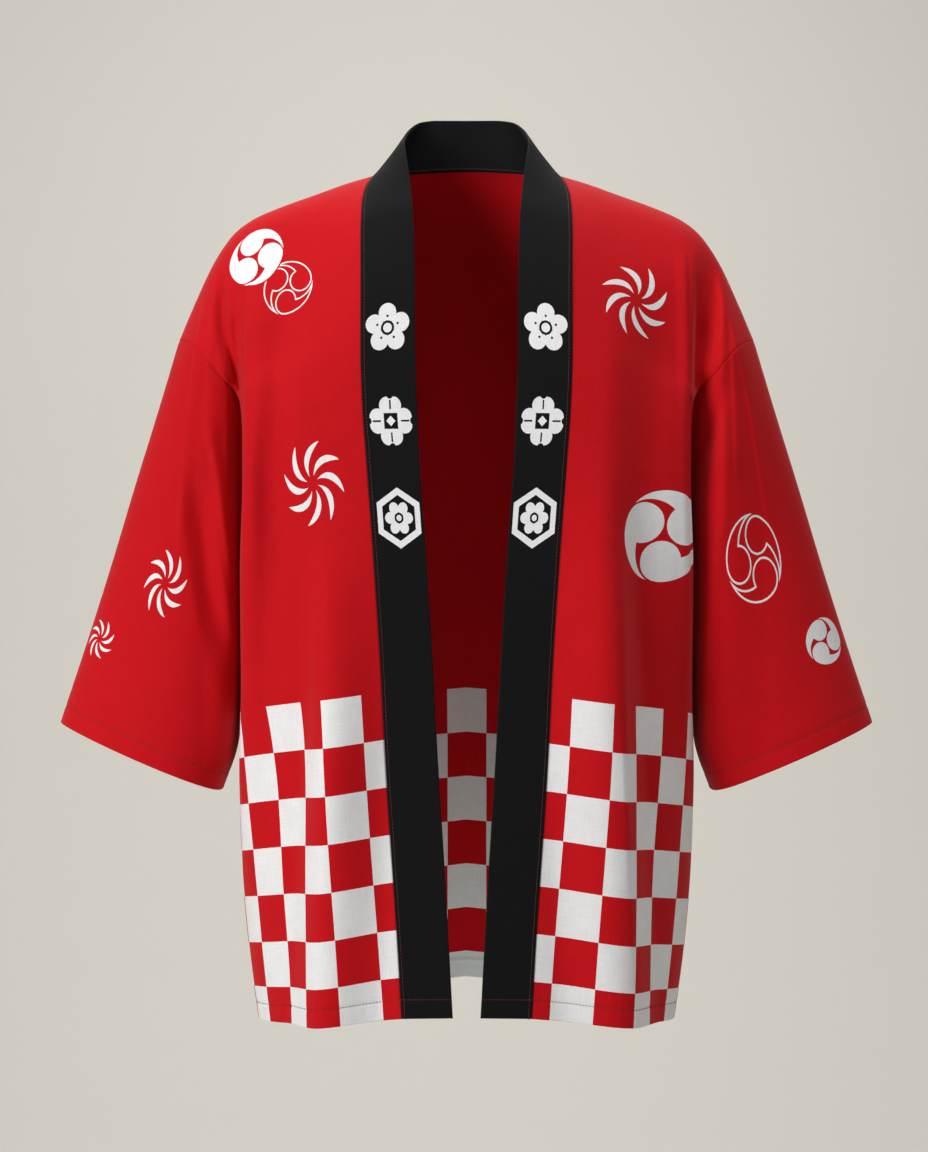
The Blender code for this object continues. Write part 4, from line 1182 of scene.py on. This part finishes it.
# ---- Floor, light and camera ----
# A plain pale backdrop that curves up from a floor well below the coat, a large soft key light above and to
# the left, and the camera level with the middle of the coat.
FLOOR = -1.6
FLOOR_HALF, FLOOR_NEAR = 8.0, -6.0  # half the backdrop's width, and where it starts, behind the camera
CURVE_START, CURVE = 2.0, 1.5  # where the floor starts to curve up, and the curve's radius
CURVE_STEPS = 12
BACKDROP_TOP = 6.0
BACKDROP_PAPER = (0.72, 0.695, 0.63, 1.0)
BACKDROP_ROUGHNESS = 0.85

profile = [(FLOOR_NEAR, FLOOR), (CURVE_START, FLOOR)]
for k in range(1, CURVE_STEPS + 1):
    turn = math.pi / 2 * k / CURVE_STEPS
    profile.append((CURVE_START + CURVE * math.sin(turn), FLOOR + CURVE - CURVE * math.cos(turn)))
profile.append((CURVE_START + CURVE, BACKDROP_TOP))
points = [(x, y, z) for y, z in profile for x in (-FLOOR_HALF, FLOOR_HALF)]
faces = [(2 * i, 2 * i + 1, 2 * i + 3, 2 * i + 2) for i in range(len(profile) - 1)]
mesh = bpy.data.meshes.new("backdrop")
mesh.from_pydata(points, [], faces)
mesh.shade_smooth()
backdrop = add_object("backdrop", mesh)
paper, shader = new_material("backdrop")
shader.inputs["Base Color"].default_value = BACKDROP_PAPER
shader.inputs["Roughness"].default_value = BACKDROP_ROUGHNESS
backdrop.data.materials.append(paper)

# Round soft lights: each one's place, the place that it faces, its width and its power in watts
Lamp = namedtuple("Lamp", "name place target width power")
LAMPS = (
    Lamp("key", (-2.75, -2.75, 0.8), (0, 0, -0.38), 2.2, 111),
    Lamp("overhead", (0.2, -0.3, 2.3), (0, 0, -0.1), 1.4, 40),
    Lamp("fill", (2.6, -1.3, 0.2), (0, 0, -0.4), 1.6, 5),
    Lamp("backdrop_light", (0.0, 1.3, 1.25), (0, 2.8, -2.3), 1.3, 26.5),
)
AIR_LIGHT = 0.20  # how bright the even white light from all round is
for lamp in LAMPS:
    data = bpy.data.lights.new(lamp.name, "AREA")
    data.shape = "DISK"
    data.size = lamp.width
    data.energy = lamp.power
    light = add_object(lamp.name, data)
    light.location = lamp.place
    way = Vector(lamp.target) - Vector(lamp.place)
    light.rotation_euler = way.to_track_quat("-Z", "Y").to_euler()
world = bpy.data.worlds.new("soft")
bpy.context.scene.world = world
world.use_nodes = True
air = world.node_tree.nodes["Background"]
air.inputs["Color"].default_value = (1, 1, 1, 1)
air.inputs["Strength"].default_value = AIR_LIGHT

CAMERA_PLACE = (-0.0024, -2.9, -0.381)
CAMERA_LENS = 94.4  # in millimetres, on a sensor 36 mm wide
camera_data = bpy.data.cameras.new("camera")
camera_data.lens = CAMERA_LENS
camera_data.sensor_width = 36.0
camera_data.clip_end = 50.0
camera = add_object("camera", camera_data)
camera.location = CAMERA_PLACE
camera.rotation_euler = (math.radians(90), 0.0, 0.0)
bpy.context.scene.camera = camera
bpy.context.scene.view_settings.view_transform = "Standard"
